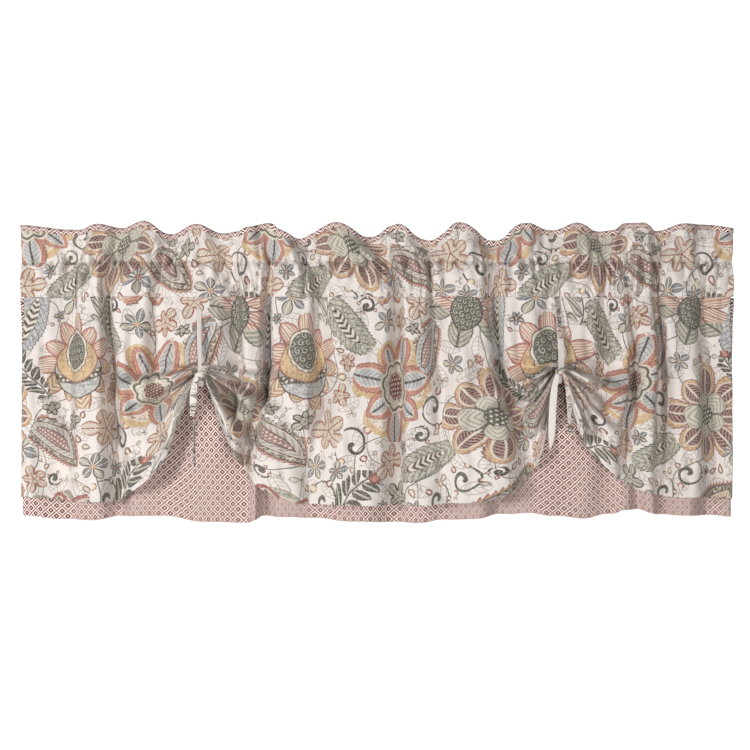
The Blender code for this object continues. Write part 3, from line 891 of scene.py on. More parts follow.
def spray(dye):
    ring = petals(dye, 5, 0.08, 0.97, 0.72, 0.3, 0.95, 0.65, 0.03, 0.1)
    tone = dye.tone
    dye.tone = ((dye.turn * 5.0 + 0.8).whole() * 0.5).fraction().over(0.25, 0.1)  # every other petal
    ring.fill(0.0, BLUE, PALE_SAGE)
    ring.veins(0.02, 9, 9.0, 0.18, DARK_BLUE, SAGE)
    ring.rib(0.0, 0.025, CREAM)
    ring.outline(1.1, DARK_BLUE, INK)
    dye.tone = tone.over(0.5, 0.1)
    disc(dye, 0.15).fill(0.0, BRICK, OCHRE)
    disc(dye, 0.13).fill(0.0, CREAM, pattern=flecks(dye, 0.09, 0.28))


def vine_leaf(dye):
    """A leaf of five pointed lobes, outlined twice and left pale."""
    lobes = petals(dye, 5, 0.0, 0.97, 0.86, 0.75, 0.8, 0.75, 0.04, 0.14)
    lobes.inside = lobes.inside.most(0.36 - dye.out)
    dye.tone = dye.tone.over(0.5)
    lobes.fill(0.0, CREAM, PALE_SAGE)
    lobes.veins(0.06, 6, 8.0, 0.1, TAUPE, SAGE)
    lobes.rib(0.05, 0.022, BRICK, DARK_SAGE)
    lobes.outline(0.8, OCHRE, TAUPE, depth=0.055)
    lobes.outline(1.4, BRICK, INK)


# The buds on a tendril: x, y, turn in degrees, colour.
BUDS = ((0.5, 0.25, 30, BRICK), (-0.4, 0.5, 120, CORAL), (-0.25, -0.6, 220, BURGUNDY), (0.45, -0.5, 320, GOLD))


def tendril(dye):
    """A curling stem with a few small buds on it."""
    dye.tone = dye.tone.over(0.5)
    pitch = 1.55
    curl = (dye.out * pitch - dye.turn).fraction() - 0.5
    stem = dye.line * 3.0 - curl.size() / pitch * (dye.out * 2.2 + 0.3)
    dye.lay(stem.over() * dye.out.under(0.9), DARK_SAGE, INK)
    for x, y, turn, colour in BUDS:
        bud = leaf(dye, 0.42, 0.15, (x, y), turn, 0, 0.5, 0.9)
        bud.fill(0.0, colour)
        bud.fill(0.07, CREAM)
        bud.outline(0.8, BURGUNDY)


def sprig(dye):
    ring = petals(dye, 3, 0.05, 0.95, 0.5, 0.25, 0.8, 0.7)
    ring.fill(0.0, DARK_BLUE, SAGE, blur=0.04)
    ring.fill(0.1, PALE_BLUE, CREAM, blur=0.05)
    disc(dye, 0.14).fill(0.0, BRICK, blur=0.05)


def bud(dye):
    dye.tone = dye.tone.over(0.45)
    body = leaf(dye, 1.6, 0.5, (-0.8, 0.0), 0, 0.1, 0.5, 0.9)
    body.fill(0.0, BRICK, OCHRE, blur=0.05)
    body.fill(0.22, CREAM, blur=0.1)
    body.outline(1.0, BURGUNDY, TAUPE)


MOTIFS = (
    star_flower, frilled_flower, domed_flower, feathered_flower, curled_leaf, long_leaf, branch, spray, vine_leaf,
    tendril, sprig, bud,
)
DRAWN = {motif.__name__.replace("_", " "): motif for motif in MOTIFS}
KINDS = tuple(DRAWN)

STITCH = 3.4 * MM  # length of a stitch
THREAD = tint(198, 188, 176)  # of the stitches
WEAVE = 1.1 * MM  # length of a wave of the fine weave
FACING_START = -613.8  # flat height of the border's lower edge, apart from the backing's
FACING_STITCH = FACING_START - 79.8  # where its row of stitches lies on the flat cloth
SHADER = {"Roughness": 0.88, "Specular IOR Level": 0.2, "Sheen Weight": 0.12, "Sheen Roughness": 0.5}


def woven(dye, stitch_row):
    """Finishes a dye as matte slub-woven cloth: a row of stitches, thicker threads both ways, and a fine weave."""
    u, v = dye.parts(dye.flat)
    threads = dye.noise(1.0, 3.0, (28, 1300, 1)) * 0.6 + dye.noise(1.0, 3.0, (1500, 22, 1)) * 0.4
    dashes = ((u / STITCH).fraction() - 0.5).near(0.36, 0.1)
    stitches = (v - stitch_row * MM).near(0.5 * MM, 0.2 * MM) * dashes
    dye.lay(stitches * 0.75, THREAD)
    shade = (threads * 0.14 + 0.9275) * (dye.noise(9.0) * 0.05 + 0.975)
    grey = dye.tree.nodes.new("ShaderNodeCombineXYZ")
    for slot in grey.inputs:
        dye.tree.links.new(shade.socket, slot)
    colour = dye.mix(1.0, dye.colour, grey.outputs[0], "MULTIPLY")
    weave = (u * (2 * math.pi / WEAVE)).wave() * (v * (2 * math.pi / WEAVE)).wave() * 0.5 + 0.5
    relief = weave * 0.35 + threads * 0.9 + stitches
    bump = dye.tree.nodes.new("ShaderNodeBump")
    bump.inputs["Strength"].default_value = 0.35
    bump.inputs["Distance"].default_value = 0.4 * MM
    dye.tree.links.new(relief.socket, bump.inputs["Height"])
    dye.tree.links.new(colour, dye.shader.inputs["Base Color"])
    dye.tree.links.new(bump.outputs[0], dye.shader.inputs["Normal"])
    for name, value in SHADER.items():
        dye.shader.inputs[name].default_value = value
    return dye.material


def floral_materials():
    """One material for each motif, one for the bare ground, and one for the cloth's pale wrong side."""
    dyes = []
    for kind in KINDS:
        dye = motif_dye(kind)
        DRAWN[kind](dye)
        dye.colour = dye.mix(dye.noise(420.0).over(0.56, 0.12) * 0.32, dye.colour, GROUND)  # the cloth's grain
        dyes.append(dye)
    back = Dye("floral wrong side", tint(226, 218, 210))
    back.lay(back.noise(26.0, 3.0).over(0.5, 0.2) * 0.5, tint(214, 196, 184))
    dyes += [Dye("floral ground"), back]
    return [woven(dye, HEADER_STITCH) for dye in dyes]


LATTICE = 12.4 * MM  # side of a square of the small print
SMALL_GROUND = tint(152, 92, 80)
PALE_LINE, DARK_LINE = tint(250, 230, 222), tint(76, 26, 21)


def lattice_print(dye):
    """The small print: double pale lines crossing on the slant, dark dashes between them, a ring in each square."""
    u, v = dye.parts(dye.flat)
    p, q = (((place / (LATTICE * math.sqrt(2))).fraction() - 0.5).size() for place in (u + v, u - v))
    inner, along = p.most(q), p.least(q)
    dye.lay((inner - 0.36).near(0.083), PALE_LINE)
    dye.lay((inner - 0.5).near(0.07) * along.under(0.3, 0.04), DARK_LINE)
    dye.lay(along.over(0.445, 0.03), DARK_LINE)
    dye.lay(inner.under(0.245), DARK_LINE)
    dye.lay(inner.under(0.09), PALE_LINE)


def small_print_materials():
    front, back = Dye("small lattice print", SMALL_GROUND), Dye("small lattice wrong side", SMALL_GROUND)
    for dye in (front, back):
        lattice_print(dye)
    back.colour = back.mix(0.72, back.colour, tint(224, 206, 198))
    return [woven(front, FACING_STITCH), woven(back, FACING_STITCH)]


# ---------------------------------------------------------------- sheets
def sheet(name, points, flat, materials, motifs=None, turned=False):
    """A thin cloth from a grid of points in millimetres, with its flat places, its motifs and its wrong side."""
    rows, columns = points.shape[:2]
    index = np.arange(rows * columns).reshape(rows, columns)
    faces = np.stack([index[:-1, :-1], index[1:, :-1], index[1:, 1:], index[:-1, 1:]], axis=-1).reshape(-1, 4)
    if turned:
        faces = faces[:, ::-1]
    mesh = bpy.data.meshes.new(name)
    mesh.from_pydata((points.reshape(-1, 3) * MM).tolist(), [], faces.tolist())
    corners = flat.reshape(-1, 2)[faces]
    cloth = mesh.uv_layers.new(name="cloth")
    cloth.data.foreach_set("uv", (corners * MM).ravel())
    for material in materials:
        mesh.materials.append(material)
    if motifs is not None:
        kinds, local, tones = motif_places(corners, motifs)
        mesh.uv_layers.new(name="motif").data.foreach_set("uv", local.ravel())
        mesh.uv_layers.new(name="motif_tone").data.foreach_set("uv", tones.ravel())
        mesh.polygons.foreach_set("material_index", kinds.tolist())
    mesh.shade_smooth()
    piece = bpy.data.objects.new(name, mesh)
    bpy.context.scene.collection.objects.link(piece)
    solid = piece.modifiers.new("Thickness", "SOLIDIFY")
    solid.thickness, solid.offset = CLOTH * MM, 0
    solid.material_offset = len(materials) - 1 if motifs is not None else 1
    applied(piece)
    return piece


def applied(piece):
    """The piece's modifiers made part of its mesh."""
    bpy.ops.object.select_all(action="DESELECT")
    piece.select_set(True)
    bpy.context.view_layer.objects.active = piece
    for modifier in list(piece.modifiers):
        bpy.ops.object.modifier_apply(modifier=modifier.name)


def motif_places(corners, offset):
    """For each face: its motif's kind, its corners' places in the motif's cell, and the cell's tone and radius."""
    corners = corners / PRINT_SCALE + offset
    middle = corners.mean(axis=1)
    best = np.full(len(corners), 9.0)
    kinds = np.full(len(corners), len(KINDS))
    local = np.zeros((len(corners), 4, 2))
    tones = np.ones((len(corners), 4, 2)) * 40
    for cell in CELLS:
        kind, u, v, radius, _, turn, tone = cell
        gap, shift = cell_gap(middle, cell)
        nearer = gap < best
        best[nearer] = gap[nearer]
        kinds[nearer] = KINDS.index(kind)
        place = (corners[nearer] - (u, v) - shift[nearer][:, None]) / (radius * SWELL)
        cos, sin = math.cos(math.radians(turn)), math.sin(math.radians(turn))
        local[nearer, :, 0] = place[..., 0] * cos + place[..., 1] * sin
        local[nearer, :, 1] = place[..., 1] * cos - place[..., 0] * sin
        tones[nearer] = (tone, radius * SWELL * PRINT_SCALE)
    return kinds, local, tones


SIDE_DEEP, SIDE_WIDE = 1.4, 11  # of a side hem: how far behind the cloth it lies, and its width


def turned_sides(x, y, z, u):
    """The grid with both its sides turned back behind themselves as narrow hems."""
    step = (u[-1] - u[0]) / (len(u) - 1)
    count = max(2, round(SIDE_WIDE / step))
    left, right = slice(count, 0, -1), slice(-2, -2 - count, -1)
    x = np.concatenate([x[:, left], x[:, :1] - 0.5, x, x[:, -1:] + 0.5, x[:, right]], axis=1)
    z = np.concatenate([z[:, left], z[:, :1], z, z[:, -1:], z[:, right]], axis=1)
    ends = [y[:, left] + SIDE_DEEP, y[:, :1] + SIDE_DEEP / 2, y, y[:, -1:] + SIDE_DEEP / 2, y[:, right] + SIDE_DEEP]
    y = np.concatenate(ends, axis=1)
    before, after = 2 * u[0] - u[left] - step, 2 * u[-1] - u[right] + step
    u = np.concatenate([before, u[:1] - step, u, u[-1:] + step, after])
    return x, y, z, u


def grid_points(x, y, z):
    return np.stack([x, y, z], axis=-1)


def flat_places(u, v):
    return np.stack(np.broadcast_arrays(u[None, :], v[:, None]), axis=-1)


def pleats(place, pitch, seed):
    """Round ridges from 0 to about 1 with crisp valleys between them, unevenly spaced and high."""
    return np.abs(waves(place, 2 * pitch, seed)) ** 0.7


# Each pinch in the heading: x at the row of stitches, how far its foot leans, z of its top and bottom,
# how far back it goes, half its width.
PINCHES = (
    # x lean top bottom back half
    (-546, -6, -60, -116, 6, 4.5),
    (-524, 4, -52, -106, 8, 5),
    (-474, -2, -57, -88, 6, 4),
    (-443, 3, -48, -80, 8, 4),
    (-426, -3, -62, -124, 8, 4.5),
    (-349, -8, -50, -82, 9, 5),
    (-337, 4, -66, -124, 7, 4),
    (-293, 2, -62, -92, 5, 5),
    (-259, -5, -55, -108, 7, 5),
    (-227, 4, -64, -118, 6, 4.5),
    (-181, 0, -56, -124, 9, 4.5),
    (-150, -3, -56, -80, 6, 5),
    (-124, 6, -58, -112, 8, 4),
    (-92, 2, -66, -124, 7, 4),
    (-68, -6, -60, -104, 7, 5),
    (-41, 3, -70, -124, 7, 4.5),
    (-17, -4, -52, -84, 9, 4),
    (3, 5, -66, -112, 6, 4.5),
    (28, 6, -56, -124, 9, 4),
    (48, -3, -50, -98, 8, 4.5),
    (86, 5, -54, -112, 9, 4),
    (108, -2, -56, -82, 8, 4),
    (136, 4, -60, -100, 5, 5),
    (168, 0, -44, -86, 9, 4.5),
    (181, 6, -68, -124, 8, 4),
    (226, -4, -54, -112, 7, 5),
    (246, 2, -56, -82, 9, 4),
    (261, 5, -58, -112, 9, 4),
    (306, -5, -58, -90, 7, 5),
    (328, 3, -64, -124, 8, 4),
    (361, -4, -54, -106, 7, 4.5),
    (386, 2, -55, -82, 9, 4),
    (411, 6, -60, -116, 9, 4),
    (442, -3, -56, -90, 7, 5),
    (466, 3, -60, -124, 9, 4),
    (498, -4, -56, -90, 8, 4.5),
    (541, 3, -56, -98, 7, 4.5),
    (561, -3, -66, -92, 5, 5),
)


def pinched(x, z):
    """How far back the cloth lies at the pinches of the heading: narrow troughs with soft ridges beside them."""
    total = 0
    for place, lean, top, bottom, back, half in PINCHES:
        peak = min(max(HEADER_STITCH, bottom + 8), top - 8)
        apart = x - place - lean * (peak - z) / 30
        fade = ease((top - z) / (top - peak)) * ease((z - bottom) / (peak - bottom))
        width = 0.8 * half * (1 + 0.5 * np.abs(z - peak) / 25)
        ridge = np.exp(-(((np.abs(apart) - 2.3 * width) / width) ** 2))
        total = total + 1.3 * back * fade * (np.exp(-((apart / width) ** 2)) - 0.4 * ridge)
    return total


def puckers(folds, z):
    """Small gathers that stand out from the two rows of stitches at the rod pocket, the same in every layer."""
    place = folds[None, :] * 152
    z = np.broadcast_to(z, (len(z), len(folds)))
    above = np.where(z > HEADER_STITCH, (z - HEADER_STITCH) / 17, (HEADER_STITCH - z) / 26)
    tight = np.exp(-above) + 0.55 * np.exp(-np.abs(z - SEAM) / 20)
    broad = np.exp(-(((z + 92) / 52) ** 2)) * (1 - 0.35 * np.exp(-(((z - HEADER_STITCH) / 7) ** 2)))
    fine = pleats(place + 0.3 * z, 24, 3) - 0.45
    wide = pleats(place - 0.2 * z, 50, 4) - 0.35
    patchy = 0.65 + 0.35 * crumple(place, z, 160, 31)
    gathered = np.exp(-(((z - HEADER_STITCH) / 5) ** 2)) * (0.6 + 0.4 * waves(place, 44, 61))
    return 6 * tight * fine * patchy + 13 * broad * wide - 5 * gathered


def dents(x, z):
    """How far forward the soft dents of the heading stand, the same in both its layers."""
    return 2.4 * crumple(x, z, 60, 5) + 1.6 * crumple(x, z, 26, 6)


def seam_sway(x, z):
    """How the seam under the pocket wavers up and down, in both of the pieces that meet there."""
    return 1.3 * waves(x, 90, 33) * np.exp(-np.abs(z - SEAM) / 12)


def flat_across(x, y):
    """Where each column of a grid lies on the flat cloth."""
    steps = np.hypot(np.diff(x, axis=1), np.diff(y, axis=1)).mean(axis=0)
    return np.concatenate([[0], np.cumsum(steps)])


SEAM_TURN = 12  # what lies turned under at a seam
# The border's turn over the top edge: height, and which ply it lies in, from the front to the back.
OVER_EDGE = (
    (-9, -1.55), (-8.4, -1.9), (-5, -1.75), (-1.6, -1.6), (-0.4, -1.25), (0.2, -0.6), (0.2, 0.0), (-0.6, 0.45),
)


def heading_cloth(materials):
    """The floral heading: the ruffle inside the border and the front of the rod pocket."""
    folds, _ = even_columns(860, (-30, -50, -97), FRONT_PLAN, HEADING_SOFT)
    ruffle, pocket = np.linspace(-3, -63, 19), np.linspace(-71, -124, 20)
    z = np.concatenate([ruffle, [-65.6, -67, -68.4], pocket, [-125.8, -126.9]])
    x, y = hanging(folds, z, FRONT_PLAN, HEADING_SOFT, -PLY / 2)
    fade = (1 - ease(-z / HOLD))[:, None]
    height = z[:, None] + top_edge(folds, x) * fade
    y = y - puckers(folds, z[:, None]) + dents(x, height) * ease((z - SEAM) / 25)[:, None]
    y = y + pinched(x, z[:, None])
    u = flat_across(x, y)
    width = u[-1]
    y = y + 1.5 * np.exp(-(((z - HEADER_STITCH) / 2.2) ** 2))[:, None] + 0.2 * ease((SEAM + 2 - z) / 2)[:, None]
    height = height + seam_sway(x, height)
    x, y, height, u = turned_sides(x, y, height, u)
    piece = sheet("heading_cloth", grid_points(x, y, height), flat_places(u, z), materials, np.array((95.0, 130.0)))
    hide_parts("header_front", "pocket_front")
    return piece, (width, z[0] - SEAM + SEAM_TURN)


def facing_cloth(materials):
    """The small-print facing: the border on the front, over the top edge, and down behind the pocket."""
    folds, _ = even_columns(760, (-30, -50, -97), BACK_PLAN, HEADING_SOFT)
    down = np.concatenate([np.linspace(-3, -64, 16), [-66, -67, -68], np.linspace(-71, -124, 18), [-126]])
    over_z, over_ply = zip(*OVER_EDGE)
    z = np.array([*over_z, *down], float)
    plies = np.array([*over_ply, *[0.5] * len(down)])[:, None]
    x, y = hanging(folds, z, BACK_PLAN, HEADING_SOFT, plies * PLY)
    fade = (1 - ease(-z / HOLD))[:, None]
    fade[: len(OVER_EDGE)] = 1
    height = z[:, None] + top_edge(folds, x) * fade
    slack = 1 - 0.6 * ease((HEADER_STITCH - 6 - z) / 14) * ease((z - SEAM - 6) / 14)
    y = y - (puckers(folds, z[:, None]) - dents(x, height)) * slack[:, None]
    y = y + pinched(x, z[:, None]) * ease((z + 84) / 10)[:, None]
    u = flat_across(x, y)
    width = u[-1]
    x, y, height, u = turned_sides(x, y, height, u)
    v = FACING_START - np.concatenate([[0], np.cumsum(np.hypot(np.diff(z), PLY * np.diff(plies[:, 0])))])
    piece = sheet("facing_cloth", grid_points(x, y, height), flat_places(u, v), materials, turned=True)
    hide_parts("header_back", "pocket_back")
    return piece, (width, v[0] - v[-1] + SEAM_TURN)


# The turned hems: share of the way down where each row lies, how far behind, and the share on the flat cloth.
OVERLAY_TURN = (
    (1.002, 0.5, 1.003), (1.002, 1.1, 1.006), (0.99, 1.5, 1.02), (0.975, 1.6, 1.035), (0.96, 1.6, 1.05),
    (0.945, 1.6, 1.065),
)
BACKING_TURN = ((1.001, 0.6, 1.003), (1.001, 1.2, 1.006), (0.985, 1.6, 1.02), (0.965, 1.7, 1.04), (0.945, 1.7, 1.06))


def with_hem(down, turn):
    """A sheet's rows with its turned hem added: their shares down, how far behind, and shares on the flat."""
    hem_down, hem_behind, hem_flat = zip(*turn)
    return np.append(down, hem_down), np.append(0 * down, hem_behind), np.append(down, hem_flat)


def overlay_cloth(materials):
    """The floral overlay: sewn on at the seam, drawn up at the two knots, with its hem turned up behind."""
    folds, width = even_columns(540, (-200, -290, -400), OVERLAY_PLAN, OVERLAY_SOFT)
    u = np.linspace(0, width, len(folds))
    above, below = np.linspace(0.03, PINCH_DOWN, 27), np.linspace(PINCH_DOWN, 1, 52)[1:]
    down, behind, flat_down = with_hem(np.concatenate([[0.0, 0.003, 0.008, 0.018], above, below]), OVERLAY_TURN)
    z = SEAM + (OVERLAY_HEM - SEAM) * down
    x, y = hanging(folds, z, OVERLAY_PLAN, OVERLAY_SOFT, -PLY / 2, HUNG_WIDTH / 2 - 5)
    x, y, z = drawn_up(x, y, down)
    y = creased(x, y, z) + behind[:, None] - puckers(folds, z)
    y = y + (3.0 * crumple(x, z, 110, 8) + 1.7 * crumple(x, z, 45, 9)) * ease((SEAM - z) / 60)
    y = y + 0.2 * (1 - ease(down / 0.008))[:, None]
    y = y + 0.5 * waves(u, 24, 12)[None, :] * ease((down - 0.93) / 0.07)[:, None]
    y = before_backing(x, y, z)
    z = z + seam_sway(x, z)
    x, y, z, u = turned_sides(x, y, z, u)
    v = SEAM + (OVERLAY_HEM - SEAM) * flat_down
    piece = sheet("overlay_cloth", grid_points(x, y, z), flat_places(u, v), materials, np.array((410.0, 470.0)))
    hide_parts("overlay")
    return piece, (width, SEAM - v[-1])


def backing_cloth(materials):
    """The small-print backing behind the overlay, with its hem turned up behind."""
    folds, width = even_columns(430, (-200, -290, -400), BACKING_PLAN, BACKING_SOFT)
    u = np.linspace(0, width, len(folds))
    down, behind, flat_down = with_hem(np.linspace(0, 1, 76), BACKING_TURN)
    z = SEAM - 0.8 + (BACKING_HEM - SEAM) * down
    x, y = hanging(folds, z, BACKING_PLAN, BACKING_SOFT, PLY / 2, HUNG_WIDTH / 2 + 3)
    bottom = edge_height(folds, 2, 12) - BACKING_HEM
    height = z[:, None] + bottom[None, :] * ease((down - 0.3) / 0.7)[:, None]
    y = y + behind[:, None] - puckers(folds, z[:, None])
    y = y + 1.8 * crumple(x, height, 90, 21) * ease((SEAM - z) / 80)[:, None]
    y = y + 0.7 * waves(u, 26, 22)[None, :] * ease((down - 0.9) / 0.1)[:, None]
    x, y, height, u = turned_sides(x, y, height, u)
    v = (BACKING_HEM - SEAM) * flat_down
    piece = sheet("backing_cloth", grid_points(x, y, height), flat_places(u, v), materials)
    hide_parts("backing")
    return piece, (width, -v[-1])


# ---------------------------------------------------------------- ties
# Each strip: x, y and z of its middle, width, turn about the upright in degrees, and 1 where print shows on it.
STRIPS = {
    "left_strap_front": (
        (-299, -10.1, -127, 8.5, 0, 0),
        (-298, -18, -150, 8.5, 10, 0),
        (-296, -31, -180, 8, 18, 0),
        (-294, -42, -215, 7.5, 14, 0),
        (-292, -54, -244, 6, 6, 0),
        (-292, -60, -254, 5, 0, 0),
    ),
    "left_strap_back": (
        (-300, -12, -152, 10, 0, 0),
        (-298, -16, -185, 10, 0, 0),
        (-295, -20, -225, 10, 0, 0),
        (-292, -24, -261, 9, 0, 0),
        (-292, -34, -276, 9, 0, 0),
        (-292, -44, -278, 8, 0, 0),
        (-292, -52, -264, 7, 0, 0),
    ),
    "left_tail_a": (
        (-295, -58, -258, 6, 0, 1),
        (-300, -58, -272, 10, -4, 1),
        (-303, -57, -290, 12, -6, 1),
        (-303, -55, -307, 12, -10, 1),
        (-304, -54, -326, 8, 0, 1),
    ),
    "left_tail_b": (
        (-296, -53, -259, 6, 30, 1),
        (-301, -48, -300, 9, 60, 1),
        (-302, -45, -345, 9, 78, 1),
        (-303, -44, -380, 9, 74, 1),
        (-303, -44, -410, 7, 60, 1),
    ),
    "right_strap_front": (
        (303, -13.4, -127, 9, 30, 1),
        (303, -24, -155, 10, 40, 1),
        (304, -31.5, -185, 11, 20, 1),
        (306, -40, -210, 11, 0, 0),
        (304, -52, -238, 10, 0, 0),
        (302, -60, -249, 7, 0, 0),
    ),
    "right_strap_back": (
        (314, -12, -152, 10, 0, 0),
        (312, -16, -185, 10, 0, 0),
        (307, -20, -225, 10, 0, 0),
        (302, -24, -256, 9, 0, 0),
        (302, -34, -271, 9, 0, 0),
        (302, -44, -273, 8, 0, 0),
        (302, -52, -259, 7, 0, 0),
    ),
    "right_tail_a": (
        (298, -58, -253, 6, 0, 0),
        (292, -58, -275, 10, -4, 0),
        (290, -57, -300, 12, -5, 0),
        (289, -55, -325, 12, -8, 0),
        (288, -54, -356, 12, -4, 0),
        (286, -53, -379, 3, 0, 0),
    ),
    "right_tail_b": (
        (306, -58, -253, 6, 10, 1),
        (314, -57, -275, 9, 20, 1),
        (318, -54, -315, 10, 30, 1),
        (318, -53, -356, 8, 20, 1),
    ),
}
# Where in the print's repeat each printed strip and knot was cut.
CUT_FROM = {
    "left_tail_a": (-8, 330),
    "left_tail_b": (-20, 330),
    "right_strap_front": (190, 210),
    "right_tail_b": (300, 350),
    "left_knot": (60, 190),
    "right_knot": (150, 90),
}
KNOT_SIZE = (7.4, 6.4, 6.8)  # half its width, depth and height
KNOT_FRONT = 56.5  # how far its middle stands in front of the rod
CORE_LENGTH, WINDING_LENGTH = 30, 60  # of the flat cloth in them
WINDINGS = ((38, 1.0, 6.2), (-24, -1.4, 5.2))  # tilt in degrees, height above the middle, width


def smooth_rows(rows, count):
    """Rows of numbers read smoothly between the given ones, by rounding their corners."""
    line = rounded([np.array(row, float) for row in rows], 4)
    length = np.concatenate([[0], np.cumsum(np.linalg.norm(np.diff(line[:, :3], axis=0), axis=1))])
    places = np.linspace(0, length[-1], count)
    return np.stack([np.interp(places, length, column) for column in line.T], axis=1), length[-1]


STRIP_RINGS, STRIP_SIDES = 40, 14  # of the mesh of a strip, along and around it
STRIP_THICK, STRIP_CUP = 1.1, 0.5  # how thick the folded strip is, and how far its edges curl


def ribbon(rows):
    """A closed flat tube along rows of x, y, z, width and turn: rings of points, length, where print shows."""
    rows, length = smooth_rows(rows, STRIP_RINGS)
    path = rows[:, :3]
    along = np.gradient(path, axis=0)
    along /= np.linalg.norm(along, axis=1)[:, None]
    turn = np.radians(rows[:, 4])
    across = np.stack([np.cos(turn), np.sin(turn), 0 * turn], axis=1)
    across -= along * (across * along).sum(axis=1)[:, None]
    across /= np.linalg.norm(across, axis=1)[:, None]
    out = np.cross(along, across)
    around = np.linspace(0, 2 * math.pi, STRIP_SIDES, endpoint=False)
    wide, deep = np.cos(around), np.sin(around)
    wide = np.sign(wide) * np.abs(wide) ** 0.55
    deep = np.sign(deep) * np.abs(deep) ** 0.7
    half = rows[:, 3] / 2
    hollow = STRIP_CUP * (wide[None, :] ** 2) * np.sin(np.linspace(0, 9, STRIP_RINGS))[:, None]
    rings = path[:, None] + across[:, None] * (half[:, None] * wide)[..., None]
    rings = rings + out[:, None] * (STRIP_THICK / 2 * deep[None, :] + hollow)[..., None]
    return rings, length, rows[:-1, 5] > 0.5


STRIP_AROUND = 24 * MM  # of flat cloth that goes around a strip


def tube(form, rings, flat_layer, length, closed):
    """Adds a tube through rings of points to a mesh, with its flat places. A closed one runs into itself."""
    count, sides = rings.shape[:2]
    verts = [[form.verts.new(Vector(point) * MM) for point in ring] for ring in rings]
    for i in range(count - 1 + closed):
        for j in range(sides):
            k, after = (j + 1) % sides, (i + 1) % count
            face = form.faces.new((verts[i][j], verts[i][k], verts[after][k], verts[after][j]))
            face.smooth = True
            for loop, (a, b) in zip(face.loops, ((i, j), (i, j + 1), (i + 1, j + 1), (i + 1, j))):
                loop[flat_layer].uv = (b / sides * STRIP_AROUND, a / count * length * MM)
    if not closed:
        for ring in (verts[0], verts[-1]):
            form.faces.new(ring).smooth = True


def tie_piece(node, tubes, printed, materials):
    """A piece of a tie from one or more tubes, with the floral print on those of its faces that show some."""
    form = bmesh.new()
    flat_layer = form.loops.layers.uv.new("cloth")
    for rings, length, closed in tubes:
        tube(form, rings, flat_layer, length, closed)
    bmesh.ops.recalc_face_normals(form, faces=form.faces)
    mesh = bpy.data.meshes.new(f"{node}_cloth")
    form.to_mesh(mesh)
    form.free()
    for material in materials:
        mesh.materials.append(material)
    sides = [face for face in mesh.polygons if face.loop_total == 4]
    loops = np.array([list(face.loop_indices) for face in sides])
    flat = np.zeros(len(mesh.loops) * 2)
    mesh.uv_layers["cloth"].data.foreach_get("uv", flat)
    kinds, local, tones = motif_places(flat.reshape(-1, 2)[loops] / MM, np.array(CUT_FROM.get(node, (0, 0)), float))
    for name, values in (("motif", local), ("motif_tone", tones)):
        layer = mesh.uv_layers.new(name=name)
        for corners, row in zip(loops, values):
            for corner, value in zip(corners, row):
                layer.data[corner].uv = value
    for face in mesh.polygons:
        face.material_index = len(KINDS)
    for face, kind, shows in zip(sides, kinds, printed):
        face.material_index = int(kind) if shows else len(KINDS)
    piece = bpy.data.objects.new(f"{node}_cloth", mesh)
    bpy.context.scene.collection.objects.link(piece)
    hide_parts(node)
    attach(piece, "root")
    return piece


def knot_rings(side):
    """The knot: a small pleated core, and the strip wound round it one and a half times."""
    x, z = TIES[side]["knot"]
    middle = np.array((x, -KNOT_FRONT, z), float)
    size = np.array(KNOT_SIZE)
    rounds = np.linspace(0, 2 * math.pi, 28, endpoint=False)
    heights = np.linspace(-0.96, 0.96, 15)
    core = []
    for height in heights:
        reach = math.sqrt(1 - height**2) * (0.86 + 0.06 * np.sin(rounds * 7 + 2 * height))
        ring = np.stack([np.cos(rounds) * reach, np.sin(rounds) * reach, np.full_like(rounds, height)], axis=1)
        core.append(middle + ring * size)
    tubes = [(np.array(core), CORE_LENGTH, False)]
    for tilt, lift, wide in WINDINGS:
        turns = np.linspace(0, 2 * math.pi, 36, endpoint=False)
        rise = math.tan(math.radians(tilt)) * 0.62
        path = np.stack([np.cos(turns) * 0.98, np.sin(turns) * 1.02, np.cos(turns) * rise], axis=1) * size
        path[:, 2] += lift
        outward = path / size**2
        outward /= np.linalg.norm(outward, axis=1)[:, None]
        along = np.roll(path, -1, axis=0) - np.roll(path, 1, axis=0)
        along /= np.linalg.norm(along, axis=1)[:, None]
        across = np.cross(along, outward)
        section = np.linspace(0, 2 * math.pi, 12, endpoint=False)
        broad, deep = np.cos(section), np.sin(section)
        rings = path[:, None] + across[:, None] * (wide / 2 * broad)[None, :, None]
        rings = rings + outward[:, None] * (0.9 * deep + 0.5 * np.cos(broad * 4))[None, :, None]
        tubes.append((middle + rings, WINDING_LENGTH, True))
    return tubes


def ties(materials):
    """All the ties' strips and knots."""
    for side in TIES:
        tubes = knot_rings(side)
        faces = sum((len(rings) - 1 + closed) * rings.shape[1] for rings, _, closed in tubes)
        tie_piece(f"{side}_knot", tubes, [True] * faces, materials)
    for name, rows in STRIPS.items():
        rings, length, shows = ribbon(rows)
        piece = tie_piece(name, [(rings, length, False)], np.repeat(shows, rings.shape[1]), materials)


# ---------------------------------------------------------------- the whole
floral = floral_materials()
small_print = small_print_materials()
sheets = [heading_cloth(floral), facing_cloth(small_print), overlay_cloth(floral), backing_cloth(small_print)]
for piece, (width, length) in sheets:
    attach(piece, "root")
ties(floral)

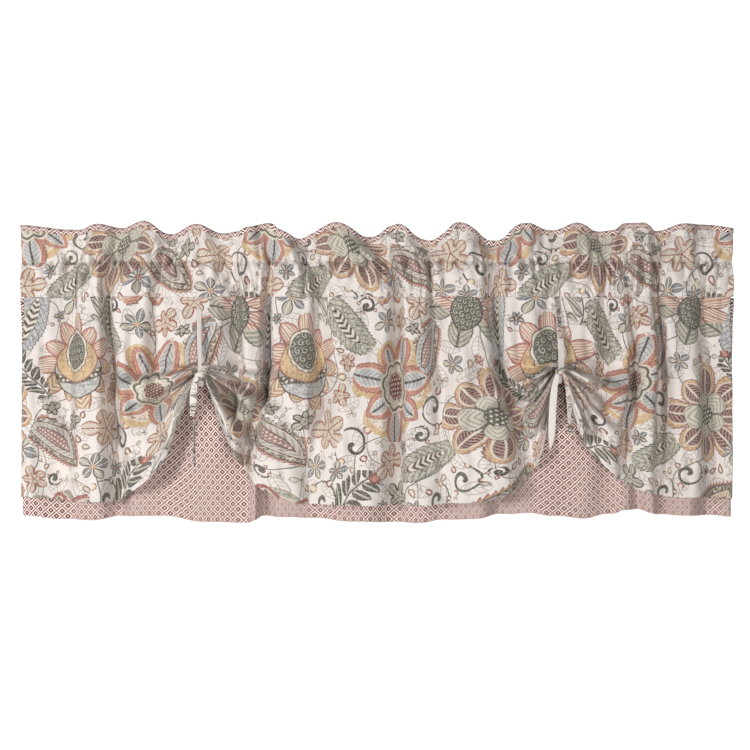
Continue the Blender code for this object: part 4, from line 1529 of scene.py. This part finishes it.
# ---------------------------------------------------------------- floor, backdrop, light and camera
def stage_sheet(name, place, turn, size, glow):
    """A plain pale sheet of the studio: the floor, or the wall far behind."""
    bpy.ops.object.select_all(action="DESELECT")
    bpy.ops.mesh.primitive_plane_add(size=1, location=place, rotation=turn)
    stage = bpy.context.object
    stage.name = name
    stage.scale = (*size, 1)
    bpy.ops.object.transform_apply(location=True, rotation=True, scale=True)
    pale = bpy.data.materials.new(name)
    pale.use_nodes = True
    shader = pale.node_tree.nodes["Principled BSDF"]
    shader.inputs["Base Color"].default_value = (0.85, 0.85, 0.85, 1)
    shader.inputs["Roughness"].default_value = 0.9
    shader.inputs["Emission Color"].default_value = (1, 1, 1, 1)
    shader.inputs["Emission Strength"].default_value = glow
    stage.data.materials.append(pale)


stage_sheet("floor", (0, -0.35, -1.3), (0, 0, 0), (5, 3.2), 0)
stage_sheet("backdrop", (0, 4.0, 0.2), (math.radians(90), 0, 0), (7, 5), 1)

AMBIENT = 0.13
world = bpy.data.worlds.new("studio")
bpy.context.scene.world = world
world.use_nodes = True
world.node_tree.nodes["Background"].inputs["Color"].default_value = (1, 1, 1, 1)
world.node_tree.nodes["Background"].inputs["Strength"].default_value = AMBIENT
bpy.context.scene.view_settings.view_transform = "Standard"


def soft_light(name, place, aim, size, power):
    light = bpy.data.lights.new(name, "AREA")
    light.shape, light.size, light.energy = "SQUARE", size, power
    lamp = bpy.data.objects.new(name, light)
    lamp.location = place
    lamp.rotation_euler = (Vector(aim) - Vector(place)).to_track_quat("-Z", "Y").to_euler()
    bpy.context.scene.collection.objects.link(lamp)


soft_light("key", (-1.7, -2.0, -0.12), (0, 0, -0.25), 0.5, 41)
soft_light("fill", (0.5, -2.3, -0.5), (0, 0, -0.25), 0.7, 23.5)

DISTANCE = 2.3  # from the camera to the plane of the rod
SENSOR, FRAME = 36, 750  # width of the film in millimetres, and of the picture in pixels
PIXEL = 1.688 * MM  # of the cloth's plane, in the photograph's frame of 750 pixels
camera_data = bpy.data.cameras.new("camera")
camera_data.sensor_width = SENSOR
camera_data.lens = SENSOR * DISTANCE / (FRAME * PIXEL)
camera = bpy.data.objects.new("camera", camera_data)
camera.location = (-2 * PIXEL, -DISTANCE, -0.258)
camera.rotation_euler = (math.radians(90), 0, 0)
bpy.context.scene.collection.objects.link(camera)
bpy.context.scene.camera = camera
